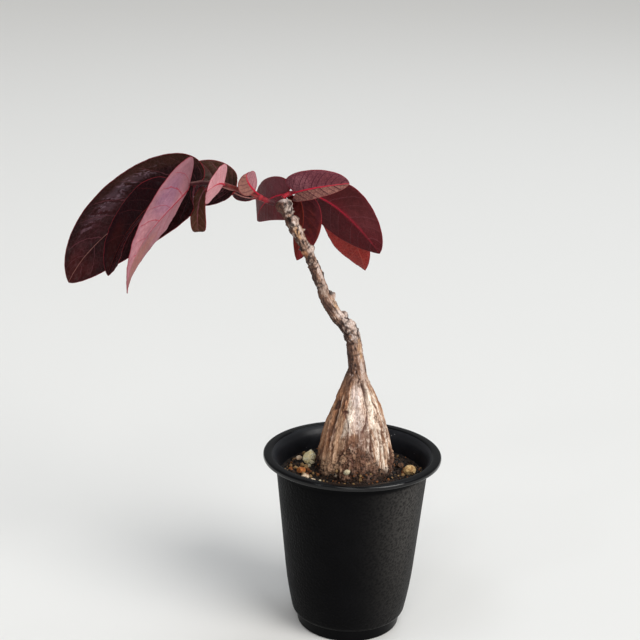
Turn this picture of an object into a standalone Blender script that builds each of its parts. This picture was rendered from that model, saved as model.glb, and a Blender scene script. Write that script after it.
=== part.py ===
# A young potted caudex plant: a thin-walled round pot filled with gritty soil, a fat tapering base
# that narrows to a crooked stem, and two leafy branchlets at its top.
# Sizes are written in millimetres and turned into metres when each mesh is made.
# Frame: origin at the centre of the pot's underside, +Z up, +X to the right, +Y away from the front.

import math
import random

import bmesh
import bpy
import numpy as np
from mathutils import Vector, noise

for old in list(bpy.data.objects):
    bpy.data.objects.remove(old, do_unlink=True)

MM = 0.001
SEAM = 0.32             # clear gap between neighbouring pieces
FULL_TURN = 2 * math.pi

# Pot
POT_HEIGHT = 92.0
RIM_RADIUS = 45.0
RIM_INNER_RADIUS = 40.5
WALL = 1.2
FLOOR = 1.8
FOOT_HEIGHT = 7.3
FOOT_RADIUS_LOW = 26.3
FOOT_RADIUS_HIGH = 27.2
WALL_RADIUS_TOP = 38.4  # outside radius where the wall starts to flare into the rim
WALL_TOP = 86.0
DRAIN_RADIUS = 3.0
DRAIN_CIRCLE = 15.0
DRAIN_COUNT = 6
AROUND = 48             # flats around the pot and the soil
BARK_SIDES = 40         # flats around the caudex and stem

# Soil
SOIL_LEVEL = 84.0
SOIL_RADIUS = 36.7
PIT_RADIUS = 20.2
CAUDEX_X = 1.7          # the plant stands a little to the right of the pot's middle

# Leaves
BLADE = 0.6             # thickness of a leaf blade
PETIOLE = 0.55          # half-width of a leaf stalk
STALK = 2.2             # length of a leaf stalk


def material(name, colour, roughness, metallic=0.0):
    made = bpy.data.materials.new(name)
    made.use_nodes = True
    shader = made.node_tree.nodes["Principled BSDF"]
    shader.inputs["Base Color"].default_value = (*colour, 1.0)
    shader.inputs["Roughness"].default_value = roughness
    shader.inputs["Metallic"].default_value = metallic
    made.diffuse_color = (*colour, 1.0)
    return made


def body(name, points, faces, skin, smooth=True):
    """One closed mesh object from points in millimetres."""
    mesh = bpy.data.meshes.new(name)
    mesh.from_pydata([tuple(float(c) * MM for c in p) for p in points], [], faces)
    tidy = bmesh.new()
    tidy.from_mesh(mesh)
    bmesh.ops.recalc_face_normals(tidy, faces=tidy.faces)
    if tidy.calc_volume(signed=True) < 0:
        bmesh.ops.reverse_faces(tidy, faces=tidy.faces)
    tidy.to_mesh(mesh)
    tidy.free()
    mesh.materials.append(skin)
    made = bpy.data.objects.new(name, mesh)
    bpy.context.scene.collection.objects.link(made)
    for face in mesh.polygons:
        face.use_smooth = smooth
    return made


def lathe(name, profile, skin, sides=AROUND):
    """Turn a closed profile of (radius, height) around Z; it starts and ends on the axis."""
    points = [(0.0, 0.0, profile[0][1])]
    for radius, height in profile[1:-1]:
        for k in range(sides):
            angle = FULL_TURN * k / sides
            points.append((radius * math.cos(angle), radius * math.sin(angle), height))
    points.append((0.0, 0.0, profile[-1][1]))
    faces = [(0, 1 + (k + 1) % sides, 1 + k) for k in range(sides)]
    rings = len(profile) - 2
    for ring in range(rings - 1):
        low = 1 + ring * sides
        for k in range(sides):
            other = (k + 1) % sides
            faces.append((low + k, low + other, low + sides + other, low + sides + k))
    last = len(points) - 1
    high = last - sides
    faces += [(last, high + k, high + (k + 1) % sides) for k in range(sides)]
    return body(name, points, faces, skin)


def outside_radius(height):
    """Outside of the pot's wall: a straight taper that curls in faster near the foot."""
    return WALL_RADIUS_TOP - 0.10 * (WALL_TOP - height) - 0.0024 * max(0.0, 33.0 - height) ** 2


# Pot: foot, ledge, wall, flared rim with a down-turned lip, then the inside down to the floor
pot_black = material("pot_black", (0.012, 0.012, 0.014), 0.42)
profile = [(0.0, 0.0), (25.5, 0.0), (FOOT_RADIUS_LOW, 0.7), (FOOT_RADIUS_HIGH, FOOT_HEIGHT - 0.3)]
profile += [(28.6, FOOT_HEIGHT), (outside_radius(7.9), 7.9)]
profile += [(outside_radius(z), z) for z in (13.0, 20.0, 28.0, 40.0, 62.0, WALL_TOP)]
profile += [(38.9, 88.0), (40.0, 89.8), (41.6, 90.6), (43.7, 90.6), (43.8, 89.5), (44.7, 89.4)]
profile += [(RIM_RADIUS, 90.0), (RIM_RADIUS, 91.3), (44.4, POT_HEIGHT), (41.2, POT_HEIGHT)]
profile += [(RIM_INNER_RADIUS, 91.7), (39.2, 90.4), (38.0, 88.4)]
profile += [(outside_radius(z) - WALL, z) for z in (WALL_TOP, 62.0, 40.0, 28.0, 20.0, 13.0, 9.0)]
profile += [(26.0, 7.0), (25.0, FLOOR), (0.0, FLOOR)]
pot = lathe("pot", profile, pot_black)

drill = bmesh.new()
for k in range(DRAIN_COUNT):
    angle = FULL_TURN * k / DRAIN_COUNT
    made = bmesh.ops.create_cone(drill, cap_ends=True, segments=16, radius1=DRAIN_RADIUS * MM,
                                 radius2=DRAIN_RADIUS * MM, depth=8.0 * MM)
    offset = Vector((DRAIN_CIRCLE * math.cos(angle), DRAIN_CIRCLE * math.sin(angle), FLOOR / 2)) * MM
    bmesh.ops.translate(drill, verts=made["verts"], vec=offset)
drill_mesh = bpy.data.meshes.new("drain_cutter")
drill.to_mesh(drill_mesh)
drill.free()
cutter = bpy.data.objects.new("drain_cutter", drill_mesh)
bpy.context.scene.collection.objects.link(cutter)
cutter.hide_render = True
cutter.display_type = "WIRE"
drain = pot.modifiers.new("drain_holes", "BOOLEAN")
drain.operation = "DIFFERENCE"
drain.solver = "EXACT"
drain.object = cutter


# Stones that lie on the soil: name, x, y, half-width, half-height, colour
STONES = (
    ("stone_pumice", -21.8, 6.0, 3.2, 4.0, (0.72, 0.66, 0.44)),
    ("stone_tan", 29.0, -5.2, 3.0, 2.4, (0.55, 0.40, 0.20)),
    ("stone_brown", 24.6, 2.0, 1.7, 1.4, (0.16, 0.09, 0.05)),
    ("grit_cream_back", -27.0, 9.6, 1.5, 1.2, (0.60, 0.55, 0.42)),
    ("grit_cream_left", -23.4, -13.6, 1.9, 1.4, (0.62, 0.52, 0.40)),
    ("grit_cream_front", -19.6, -17.4, 1.3, 1.1, (0.66, 0.60, 0.50)),
    ("grit_orange", -25.6, -6.6, 2.2, 1.6, (0.42, 0.17, 0.05)),
)
STONE_SINK = 0.35       # the flat underside of a stone floats this far over the flattened soil


def soil_height(x, y):
    """Lumpy soil that is level where a stone lies and where it meets the pot and the plant."""
    lumps = 0.9 * noise.noise(Vector((x * 0.13, y * 0.13, 4.1)))
    lumps += 0.7 * noise.noise(Vector((x * 0.35, y * 0.35, 9.7)))
    lumps += 0.5 * noise.noise(Vector((x * 0.8, y * 0.8, 1.3)))
    calm = min(1.0, max(0.0, (SOIL_RADIUS - math.hypot(x, y)) / 3.0))
    calm *= min(1.0, max(0.0, (math.hypot(x - CAUDEX_X, y) - PIT_RADIUS) / 2.0))
    for _, stone_x, stone_y, half, _, _ in STONES:
        away = math.hypot(x - stone_x, y - stone_y) - half - 1.2
        calm *= min(1.0, max(0.0, away / 2.0))
    return SOIL_LEVEL + 1.1 * lumps * calm


# Soil: a solid plug with a plain pit in which the caudex stands
soil_dark = material("soil_dark", (0.045, 0.026, 0.016), 0.95)
RINGS_ACROSS = 9
pit = ((PIT_RADIUS, SOIL_LEVEL), (19.1, 78.0), (16.4, 72.0), (12.0, 66.0), (7.0, 61.0), (2.6, 57.6))
side = [(SOIL_RADIUS, SOIL_LEVEL)]
side += [(outside_radius(z) - WALL - SEAM, z) for z in (62.0, 40.0, 28.0, 20.0, 13.0, 9.2)]
side += [(25.5, 6.8), (24.6, FLOOR + SEAM)]
soil_points = [(CAUDEX_X, 0.0, pit[-1][1])]
for radius, height in reversed(pit[1:]):
    for k in range(AROUND):
        angle = FULL_TURN * k / AROUND
        soil_points.append((CAUDEX_X + radius * math.cos(angle), radius * math.sin(angle), height))
for ring in range(RINGS_ACROSS + 1):
    share = ring / RINGS_ACROSS
    for k in range(AROUND):
        angle = FULL_TURN * k / AROUND
        near = Vector((CAUDEX_X + PIT_RADIUS * math.cos(angle), PIT_RADIUS * math.sin(angle)))
        far = Vector((SOIL_RADIUS * math.cos(angle), SOIL_RADIUS * math.sin(angle)))
        spot = near.lerp(far, share)
        soil_points.append((spot.x, spot.y, soil_height(spot.x, spot.y)))
for radius, height in side[1:]:
    for k in range(AROUND):
        angle = FULL_TURN * k / AROUND
        soil_points.append((radius * math.cos(angle), radius * math.sin(angle), height))
soil_points.append((0.0, 0.0, side[-1][1]))
soil_faces = [(0, 1 + k, 1 + (k + 1) % AROUND) for k in range(AROUND)]
soil_rings = (len(soil_points) - 2) // AROUND
for ring in range(soil_rings - 1):
    low = 1 + ring * AROUND
    for k in range(AROUND):
        other = (k + 1) % AROUND
        soil_faces.append((low + k, low + other, low + AROUND + other, low + AROUND + k))
last = len(soil_points) - 1
soil_faces += [(last, last - AROUND + k, last - AROUND + (k + 1) % AROUND) for k in range(AROUND)]
body("soil", soil_points, soil_faces, soil_dark)


def stone(name, x, y, half, tall, colour, seed):
    """A rounded broken stone with a flat underside."""
    picked = random.Random(seed)
    shape = bmesh.new()
    bmesh.ops.create_icosphere(shape, subdivisions=2 if tall > 2 else 1, radius=1.0)
    low = SOIL_LEVEL + STONE_SINK
    stretch = picked.uniform(0.85, 1.0)
    points = []
    for vert in shape.verts:
        way = vert.co.normalized()
        lump = 1.0 + 0.16 * noise.noise(way * 1.7 + Vector((seed * 3.7, 0.0, 0.0)))
        lump = min(lump, 1.06)
        points.append((x + half * lump * way.x * 0.95, y + half * lump * way.y * stretch,
                       low + tall + tall * lump * max(way.z, -0.82)))
    floor_level = min(p[2] for p in points)
    points = [(p[0], p[1], p[2] - floor_level + low) for p in points]
    faces = [tuple(v.index for v in face.verts) for face in shape.faces]
    shape.free()
    skin = material(name + "_skin", colour, 0.9)
    return body(name, points, faces, skin, smooth=False)


for number, (name, x, y, half, tall, colour) in enumerate(STONES):
    stone(name, x, y, half, tall, colour, number + 1)


# Caudex and stem: x, y, z and radius of points up the middle
TRUNK = (
    (1.7, 0.0, 58.0, 2.0), (1.7, 0.0, 61.0, 6.5), (1.7, 0.0, 66.0, 11.6), (1.7, 0.0, 72.0, 16.0),
    (1.7, 0.0, 78.0, 18.7), (1.7, 0.0, 84.0, 19.6), (1.7, 0.0, 92.0, 18.9), (1.7, 0.0, 100.0, 17.3),
    (1.5, 0.0, 108.0, 15.1), (1.3, 0.0, 117.0, 12.1), (1.0, 0.0, 125.0, 8.9), (0.8, 0.0, 132.0, 6.2),
    (1.1, 0.0, 138.0, 4.4), (0.2, -0.2, 144.5, 3.9), (-0.2, -0.4, 148.0, 3.8), (-1.0, -0.5, 152.8, 3.7),
    (-2.2, -0.7, 156.0, 3.7), (-4.4, -0.9, 159.9, 3.3), (-6.9, -1.0, 162.8, 3.0),
    (-9.7, -1.1, 166.0, 3.0), (-12.1, -1.2, 169.5, 3.1), (-14.0, -1.4, 173.0, 3.2),
    (-15.6, -1.5, 176.2, 2.9), (-17.0, -1.7, 180.0, 2.6), (-19.3, -1.9, 186.3, 2.6),
    (-21.4, -2.1, 191.3, 2.6), (-22.6, -2.2, 194.3, 2.3), (-24.8, -2.4, 199.0, 2.7),
    (-27.0, -2.6, 203.0, 2.3), (-29.6, -2.8, 208.0, 2.7), (-32.4, -3.0, 213.5, 2.8),
    (-34.2, -3.0, 216.6, 2.7), (-35.6, -3.0, 220.4, 3.7), (-35.9, -3.0, 222.8, 3.3),
)
TRUNK_TOP = (-36.1, -3.0, 223.9)
# Knobs and leaf scars on the stem: height, direction in degrees, how far out, how wide
KNOBS = (
    (155.5, -60, 0.7, 2.4), (159.3, 5, 1.0, 2.2), (163.6, 15, 1.5, 1.5), (161.0, -75, 0.8, 1.6),
    (163.0, 160, 0.4, 2.2), (175.0, 8, 2.2, 1.3), (171.0, -30, 0.5, 2.4), (193.8, -150, 0.7, 1.5),
    (196.5, -80, 0.5, 1.5), (198.8, 10, 0.4, 1.6), (204.2, 170, 0.6, 1.4), (209.0, -165, 0.5, 1.8),
    (213.5, 0, 0.5, 1.4), (211.5, -70, 0.6, 1.6), (219.5, -60, 0.5, 1.8), (220.5, 175, 0.4, 1.8),
)


def smooth_path(points, per_span):
    """Catmull-Rom samples through rows of numbers."""
    rows = np.array(points, float)
    rows = np.vstack([2 * rows[0] - rows[1], rows, 2 * rows[-1] - rows[-2]])
    out = []
    for i in range(1, len(rows) - 2):
        for step in range(per_span):
            t = step / per_span
            a, b, c, d = rows[i - 1:i + 3]
            out.append(0.5 * (2 * b + (c - a) * t + (2 * a - 5 * b + 4 * c - d) * t * t
                              + (3 * b - a - 3 * c + d) * t ** 3))
    out.append(rows[-2])
    return np.array(out)


def directions(path):
    """Unit tangents of a path of points."""
    steps = np.gradient(path, axis=0)
    return steps / np.linalg.norm(steps, axis=1)[:, None]


def ridge(angle, z):
    """Fibrous lengthwise ridges, between about -1 and 1."""
    wave = 0.45 * math.sin(9 * angle + 1.6 * math.sin(z / 9.0))
    wave += 0.35 * math.sin(14 * angle + 2.1 + 1.3 * math.sin(z / 13.0 + 1.0))
    return wave + 0.25 * math.sin(21 * angle - 0.6 + z / 15.0)


def trunk_radius(radius, angle, x, z):
    """Radius of the bark at one direction around the middle."""
    if z < 80.0:
        return radius
    share = min(1.0, (z - 80.0) / 4.0)
    depth = 0.3 + 0.4 * min(1.0, max(0.0, (z - 84.0) / 10.0))
    if z > 128.0:
        depth = max(0.16, 0.7 - 0.07 * (z - 128.0))
    out = radius + share * depth * ridge(angle, z)
    # a long raised plate of bark on the front of the caudex
    front = math.exp(-((angle + math.pi / 2 - 0.05) / 0.33) ** 2 - ((z - 113.0) / 13.0) ** 2)
    out += 0.55 * front
    for height, way, far, wide in KNOBS:
        turn = (angle - math.radians(way) + math.pi) % FULL_TURN - math.pi
        out += far * math.exp(-((z - height) / wide) ** 2 - (turn * radius / wide) ** 2)
    return out


bark = material("bark", (0.40, 0.29, 0.20), 0.85)
track = np.vstack([smooth_path(TRUNK[:5], 2)[:-1], smooth_path(TRUNK[4:], 2)])
middle = track[:, :3]
along = directions(middle)
trunk_points = [(TRUNK[0][0], TRUNK[0][1], TRUNK[0][2] - 0.1)]
for spot, way in zip(track, along):
    right = np.array((1.0, 0.0, 0.0)) - way[0] * way
    right /= np.linalg.norm(right)
    back = np.cross(way, right)
    for k in range(BARK_SIDES):
        angle = FULL_TURN * k / BARK_SIDES
        if angle > math.pi:
            angle -= FULL_TURN
        reach = trunk_radius(spot[3], angle, spot[0], spot[2])
        trunk_points.append(spot[:3] + reach * (math.cos(angle) * right + math.sin(angle) * back))
trunk_points.append(TRUNK_TOP)
last = len(trunk_points) - 1
trunk_faces = [(0, 1 + (k + 1) % BARK_SIDES, 1 + k) for k in range(BARK_SIDES)]
for ring in range(len(track) - 1):
    low = 1 + ring * BARK_SIDES
    for k in range(BARK_SIDES):
        other = (k + 1) % BARK_SIDES
        trunk_faces.append((low + k, low + other, low + BARK_SIDES + other, low + BARK_SIDES + k))
top = last - BARK_SIDES
trunk_faces += [(last, top + k, top + (k + 1) % BARK_SIDES) for k in range(BARK_SIDES)]
body("caudex_and_stem", trunk_points, trunk_faces, bark)


# Branchlets: points along each, then where leaves join as shares of the way along
LEFT_TWIG = ((-40.0, -3.5, 221.8), (-44.6, -4.5, 223.3), (-50.3, -6.6, 226.6), (-57.0, -11.0, 229.7),
             (-63.8, -16.2, 233.0), (-72.6, -20.6, 234.6), (-78.6, -24.6, 234.8), (-82.6, -27.0, 235.0))
RIGHT_TWIG = ((-36.8, 1.7, 223.2), (-35.0, 2.9, 224.5), (-32.2, 5.0, 225.2), (-29.0, 10.5, 225.0),
              (-27.4, 15.5, 223.0), (-26.8, 20.2, 221.4))
TWIG_RADIUS_LEFT = (1.35, 0.8)
TWIG_RADIUS_RIGHT = (1.15, 0.8)
TWIG_SIDES = 12
SWELL = 0.22            # extra radius where a leaf joins
SIDE_SLACK = 0.3        # a leaf stalk's square end leans, so it starts a little further out
TIP_SLACK = 0.45


def twig_radius(share, ends, joints):
    radius = ends[0] + (ends[1] - ends[0]) * share
    for joint in joints:
        radius += SWELL * math.exp(-((share - joint) / 0.025) ** 2)
    return radius


def twig(name, points, ends, joints, skin):
    path = smooth_path(points, 4)
    ways = directions(path)
    side = np.cross(ways[0], (0.0, 0.0, 1.0))
    verts = [path[0]]
    for number, (spot, way) in enumerate(zip(path, ways)):
        side = side - side.dot(way) * way
        side /= np.linalg.norm(side)
        up = np.cross(side, way)
        radius = twig_radius(number / (len(path) - 1), ends, joints)
        if number in (0, len(path) - 1):
            radius *= 0.8
        for k in range(TWIG_SIDES):
            angle = FULL_TURN * k / TWIG_SIDES
            verts.append(spot + radius * (math.cos(angle) * side + math.sin(angle) * up))
    verts.append(path[-1])
    end = len(verts) - 1
    faces = [(0, 1 + k, 1 + (k + 1) % TWIG_SIDES) for k in range(TWIG_SIDES)]
    for ring in range(len(path) - 1):
        low = 1 + ring * TWIG_SIDES
        for k in range(TWIG_SIDES):
            other = (k + 1) % TWIG_SIDES
            faces.append((low + k, low + other, low + TWIG_SIDES + other, low + TWIG_SIDES + k))
    faces += [(end, end - TWIG_SIDES + k, end - TWIG_SIDES + (k + 1) % TWIG_SIDES)
              for k in range(TWIG_SIDES)]
    return body(name, verts, faces, skin)


# Leaves: share of the way along the branchlet, middle and tip of the midrib, where the upper side
# looks, fold and twist in degrees, how far the midrib sways to and fro, and for each half of the
# blade its width, how blunt its base and its tip are, and how far it sweeps back at the base
LEFT_LEAVES = {
    "leaf_left_1": dict(joint=0.21, mid=(-54.8, 1.0, 223.2), tip=(-60.8, 5.0, 224.8),
                        face=(-0.3, -0.3, 1.0), fold=6,
                        left=(3.75, 0.5, 0.6, 0.0), right=(3.75, 0.5, 0.6, 0.0)),
    "leaf_left_2": dict(joint=0.26, mid=(-52.3, -14.0, 233.3), tip=(-53.1, -18.0, 238.7),
                        face=(-0.73, 0.66, 0.18), fold=5,
                        left=(6.0, 0.4, 0.45, 0.0), right=(6.0, 0.4, 0.45, 0.0)),
    "leaf_left_3": dict(joint=0.42, mid=(-67.8, 2.2, 228.7), tip=(-82.9, 2.8, 227.0),
                        face=(-0.17, -0.84, 0.51), fold=8, twist=2, sway=(0.2, 0.2, -1.6),
                        left=(12.1, 0.55, 0.38, -0.4), right=(11.3, 0.5, 0.33, 0.6)),
    "leaf_left_4": dict(joint=0.58, mid=(-65.3, -33.0, 236.8), tip=(-69.4, -42.0, 235.3),
                        face=(-0.9, 0.17, 0.37), fold=6,
                        left=(9.7, 0.4, 0.5, 0.0), right=(10.8, 0.4, 0.5, 0.0)),
    "leaf_left_5": dict(joint=0.67, mid=(-75.0, -23.4, 222.9), tip=(-74.5, -26.0, 212.7),
                        face=(-0.2, -0.85, 0.35), fold=8, sway=(-0.4, 0.8, 0.8),
                        left=(4.3, 0.5, 0.5, -1.0), right=(3.0, 0.7, 0.35, -1.0)),
    "leaf_left_6": dict(joint=0.745, mid=(-101.6, -10.0, 220.0), tip=(-137.2, -17.0, 184.3),
                        face=(-0.2, -0.83, 0.51), fold=4.5, twist=20, sway=(4.4, -0.9, 1.1),
                        left=(18.8, 0.53, 0.58, 6.6), right=(20.7, 0.72, 0.85, 3.5)),
    "leaf_left_7": dict(joint=0.88, mid=(-92.0, -51.0, 221.3), tip=(-101.7, -72.0, 196.1),
                        face=(-0.84, 0.42, 0.36), fold=5.6, sway=(2.6, -2.0, 0.9),
                        left=(19.2, 0.22, 1.3, -0.8), right=(14.9, 0.61, 0.8, -3.0)),
    "leaf_left_tip": dict(joint=1.0, mid=(-103.9, -28.0, 217.0), tip=(-116.1, -32.4, 192.5),
                          face=(-0.44, -0.44, 0.78), fold=22, sway=(0.1, -2.0, 0.2),
                          left=(14.6, 0.52, 0.52, -0.7), right=(13.1, 0.42, 0.78, 1.9)),
}
RIGHT_LEAVES = {
    "leaf_right_1": dict(joint=0.12, mid=(-42.0, 18.0, 215.7), tip=(-50.3, 34.0, 205.1),
                         face=(0.71, 0.68, 0.19), fold=9,
                         left=(13.2, 0.3, 0.5, 0.0), right=(8.8, 0.3, 0.5, 0.0)),
    "leaf_right_2": dict(joint=0.33, mid=(-20.5, -3.0, 229.7), tip=(-5.1, -1.4, 231.7),
                         face=(-0.04, 0.96, 0.28), fold=9, twist=8,
                         left=(6.8, 0.38, 0.5, 4.5), right=(9.3, 0.42, 0.65, 4.5)),
    "leaf_right_3": dict(joint=0.56, mid=(-27.2, 10.0, 206.0), tip=(-29.7, 13.4, 189.4),
                         face=(0.24, 0.97, -0.01), fold=5.8, twist=1, sway=(0.9, -0.6, -0.1),
                         left=(7.0, 0.36, 0.74, -0.1), right=(9.0, 0.57, 0.65, -1.2)),
    "leaf_right_4": dict(joint=0.74, mid=(-5.8, 24.0, 209.9), tip=(11.6, 27.5, 190.0),
                         face=(0.39, 0.9, 0.18), fold=9, twist=1.5, sway=(-0.3, 1.9, 0.5),
                         left=(15.6, 0.56, 0.69, -1.5), right=(14.6, 0.39, 0.75, -0.3)),
    "leaf_right_tip": dict(joint=1.0, mid=(-5.2, 30.3, 202.4), tip=(5.2, 42.0, 177.1),
                           face=(0.4, 0.87, 0.29), fold=6.5, twist=-2.5, sway=(0.1, 2.3, 1.1),
                           left=(14.4, 0.85, 0.61, -0.6), right=(9.2, 0.69, 0.99, 0.0)),
}
BLADE_STEPS = (0.0, 0.012, 0.05, 0.12, 0.22, 0.35, 0.5, 0.65, 0.79, 0.9, 0.97, 1.0)
HALF_COLUMNS = 3        # steps from midrib to margin


def unit(vector):
    vector = np.asarray(vector, float)
    return vector / np.linalg.norm(vector, axis=-1, keepdims=True)


def fullness(blade, base, end):
    """Share of the greatest half-width at one place along the blade."""
    peak = base / (base + end)
    return blade ** base * (1 - blade) ** end / (peak ** base * (1 - peak) ** end)


def leaf(name, root, mid, tip, face, fold, left, right, skin, twist=0.0, sway=(0.0, 0.0, 0.0)):
    """A thin folded blade along a curved midrib, with a raised rib on its underside."""
    root, mid, tip, sway = (np.array(p, float) for p in (root, mid, tip, sway))
    pull = 2 * mid - (root + tip) / 2
    length = np.linalg.norm(mid - root) + np.linalg.norm(tip - mid)
    start = STALK / length
    shares = [0.0] + [start + (1 - start) * step for step in BLADE_STEPS]
    columns = np.linspace(-1, 1, 2 * HALF_COLUMNS + 1)
    lean = math.radians(fold)
    upper = []
    lower = []
    for share in shares:
        spot = (1 - share) ** 2 * root + 2 * share * (1 - share) * pull + share * share * tip
        spot = spot + 10.4 * share * (1 - share) * (1 - 2 * share) * sway
        way = unit(2 * (1 - share) * (pull - root) + 2 * share * (tip - pull)
                   + 10.4 * (1 - 6 * share + 6 * share * share) * sway)
        normal = unit(np.array(face) - np.dot(face, way) * way)
        across = np.cross(way, normal)
        turn = math.radians(twist) * (share - 0.5)
        across, normal = (math.cos(turn) * across + math.sin(turn) * normal,
                          math.cos(turn) * normal - math.sin(turn) * across)
        blade = min(1.0, max(0.0, (share - start) / (1 - start)))
        stalk = max(0.0, 1 - share / (2 * start))
        for column in columns:
            width, base, end, sweep = right if column > 0 else left
            full = fullness(blade, base, end)
            out = column * max(PETIOLE if share < 0.5 else 0.3, width * full)
            point = spot + out * math.cos(lean) * across + abs(out) * math.sin(lean) * normal
            point = point - sweep * full * abs(column) * (1 - blade) ** 2 * way
            rib = (0.55 * (1 - share) + 0.1) * max(0.0, 1 - abs(column) * 2.2)
            rounding = 0.3 * stalk * (1 - column * column)
            upper.append(point + (BLADE / 2 + rounding) * normal)
            lower.append(point - (BLADE / 2 + rib + rounding) * normal)
    wide = len(columns)
    count = len(upper)
    faces = []
    for row in range(len(shares) - 1):
        for column in range(wide - 1):
            a = row * wide + column
            b, c, d = a + 1, a + wide + 1, a + wide
            for offset in (0, count):
                faces.append((a + offset, b + offset, c + offset))
                faces.append((a + offset, c + offset, d + offset))
        for edge in (0, wide - 1):
            a = row * wide + edge
            faces.append((a, a + wide, a + wide + count, a + count))
    for row in (0, len(shares) - 1):
        for column in range(wide - 1):
            a = row * wide + column
            faces.append((a, a + 1, a + 1 + count, a + count))
    return body(name, upper + lower, faces, skin)


twig_red = material("twig_red", (0.30, 0.035, 0.045), 0.5)
leaf_wine = material("leaf_wine", (0.085, 0.022, 0.026), 0.42)
BRANCHLETS = (("branchlet_left", LEFT_TWIG, TWIG_RADIUS_LEFT, LEFT_LEAVES),
              ("branchlet_right", RIGHT_TWIG, TWIG_RADIUS_RIGHT, RIGHT_LEAVES))
for name, points, ends, leaves in BRANCHLETS:
    joints = [values["joint"] for values in leaves.values()]
    twig(name, points, ends, joints, twig_red)
    path = smooth_path(points, 40)
    for leaf_name, values in leaves.items():
        values = dict(values)
        joint = values.pop("joint")
        spot = path[round(joint * (len(path) - 1))]
        if joint == 1.0:
            way = unit(path[-1] - path[-6])
            root = spot + (SEAM + TIP_SLACK) * way
        else:
            toward = unit(np.array(values["mid"]) - spot)
            along_twig = unit(path[min(len(path) - 1, round(joint * (len(path) - 1)) + 3)] - spot)
            toward = unit(toward - 0.85 * toward.dot(along_twig) * along_twig)
            root = spot + (twig_radius(joint, ends, joints) + SEAM + SIDE_SLACK) * toward
        leaf(leaf_name, root, skin=leaf_wine, **values)
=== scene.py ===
# Looks of a young potted caudex plant: bark, leaves, soil, stones and pot, each finer than its solid.
# Lengths are in millimetres and turned into metres when a mesh is made.
import itertools
import math

import bmesh
import bpy
import numpy as np
from mathutils import Matrix, Vector
from mathutils import noise as soft_noise


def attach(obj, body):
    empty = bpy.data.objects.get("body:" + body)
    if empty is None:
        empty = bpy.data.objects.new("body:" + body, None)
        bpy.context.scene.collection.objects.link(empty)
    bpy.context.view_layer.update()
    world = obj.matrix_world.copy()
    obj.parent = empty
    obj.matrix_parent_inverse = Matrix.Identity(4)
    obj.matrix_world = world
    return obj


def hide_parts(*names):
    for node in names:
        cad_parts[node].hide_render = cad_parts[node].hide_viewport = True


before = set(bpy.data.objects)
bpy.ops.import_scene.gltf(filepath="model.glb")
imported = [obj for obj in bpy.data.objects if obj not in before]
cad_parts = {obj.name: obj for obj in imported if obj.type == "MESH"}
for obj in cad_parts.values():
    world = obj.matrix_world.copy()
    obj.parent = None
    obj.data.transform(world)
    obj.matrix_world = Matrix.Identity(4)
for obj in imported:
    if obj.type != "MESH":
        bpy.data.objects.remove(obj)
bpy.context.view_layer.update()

MM = 0.001
FULL_TURN = 2 * math.pi


# Numbers and noise

def unit(vector):
    vector = np.asarray(vector, float)
    return vector / np.linalg.norm(vector, axis=-1, keepdims=True)


def tone(red, green, blue):
    """A colour written as screen values of 0 to 255, in linear light."""
    share = np.array((red, green, blue), float) / 255
    return np.where(share <= 0.04045, share / 12.92, ((share + 0.055) / 1.055) ** 2.4)


def step(value, low, high):
    """0 below low, 1 above high, smooth between; low may be the greater."""
    share = np.clip((value - low) / (high - low), 0, 1)
    return share * share * (3 - 2 * share)


def mix(first, second, share):
    return first + (second - first) * np.asarray(share)[..., None]


SHUFFLE = np.random.default_rng(11).permutation(512)
SLOPES = unit(np.random.default_rng(12).normal(size=(512, 3)))
JITTER = np.random.default_rng(13).uniform(-0.45, 0.45, size=(512, 3))


def hashed(cell, seed):
    key = SHUFFLE[(cell[:, 0] + 37 * seed) & 511]
    key = SHUFFLE[(key + cell[:, 1]) & 511]
    return SHUFFLE[(key + cell[:, 2]) & 511]


def noise(points, seed=0):
    """Smooth noise of about -1 to 1 at rows of three numbers."""
    cell = np.floor(points).astype(int)
    rest = points - cell
    fade = rest ** 3 * (rest * (rest * 6 - 15) + 10)
    total = np.zeros(len(points))
    for corner in itertools.product((0, 1), repeat=3):
        slope = SLOPES[hashed(cell + corner, seed)]
        share = np.prod(np.where(corner, fade, 1 - fade), axis=1)
        total += share * np.sum((rest - corner) * slope, axis=1)
    return 1.7 * total


def rough(points, octaves, seed=0):
    return sum(noise(points * 2 ** k, seed + k) / 2 ** k for k in range(octaves))


def cells(points, seed=0):
    """Distances to the nearest and next of scattered spots, and a number from 0 to 1 for the nearest."""
    base = np.floor(points).astype(int)
    near = np.full(len(points), 9.0)
    after = near.copy()
    pick = np.zeros(len(points))
    for move in itertools.product((-1, 0, 1), repeat=3):
        cell = base + move
        key = hashed(cell, seed)
        away = np.linalg.norm(points - (cell + 0.5 + JITTER[key]), axis=1)
        closer = away < near
        after = np.where(closer, near, np.minimum(after, away))
        near = np.where(closer, away, near)
        pick = np.where(closer, key / 511, pick)
    return near, after, pick


def smooth_path(points, per_span):
    """Samples of a smooth curve through rows of numbers."""
    rows = np.array(points, float)
    rows = np.vstack([2 * rows[0] - rows[1], rows, 2 * rows[-1] - rows[-2]])
    out = []
    for i in range(1, len(rows) - 2):
        for part in range(per_span):
            t = part / per_span
            a, b, c, d = rows[i - 1:i + 3]
            out.append(0.5 * (2 * b + (c - a) * t + (2 * a - 5 * b + 4 * c - d) * t * t
                              + (3 * b - a - 3 * c + d) * t ** 3))
    out.append(rows[-2])
    return np.array(out)


def directions(path):
    """Unit tangents of a path of points."""
    return unit(np.gradient(path, axis=0))


# Meshes and pieces

def placed(name, data):
    """A new object in the scene."""
    made = bpy.data.objects.new(name, data)
    bpy.context.scene.collection.objects.link(made)
    return made


def face_outwards(mesh):
    shape = bmesh.new()
    shape.from_mesh(mesh)
    bmesh.ops.recalc_face_normals(shape, faces=shape.faces)
    shape.to_mesh(mesh)
    shape.free()


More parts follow.
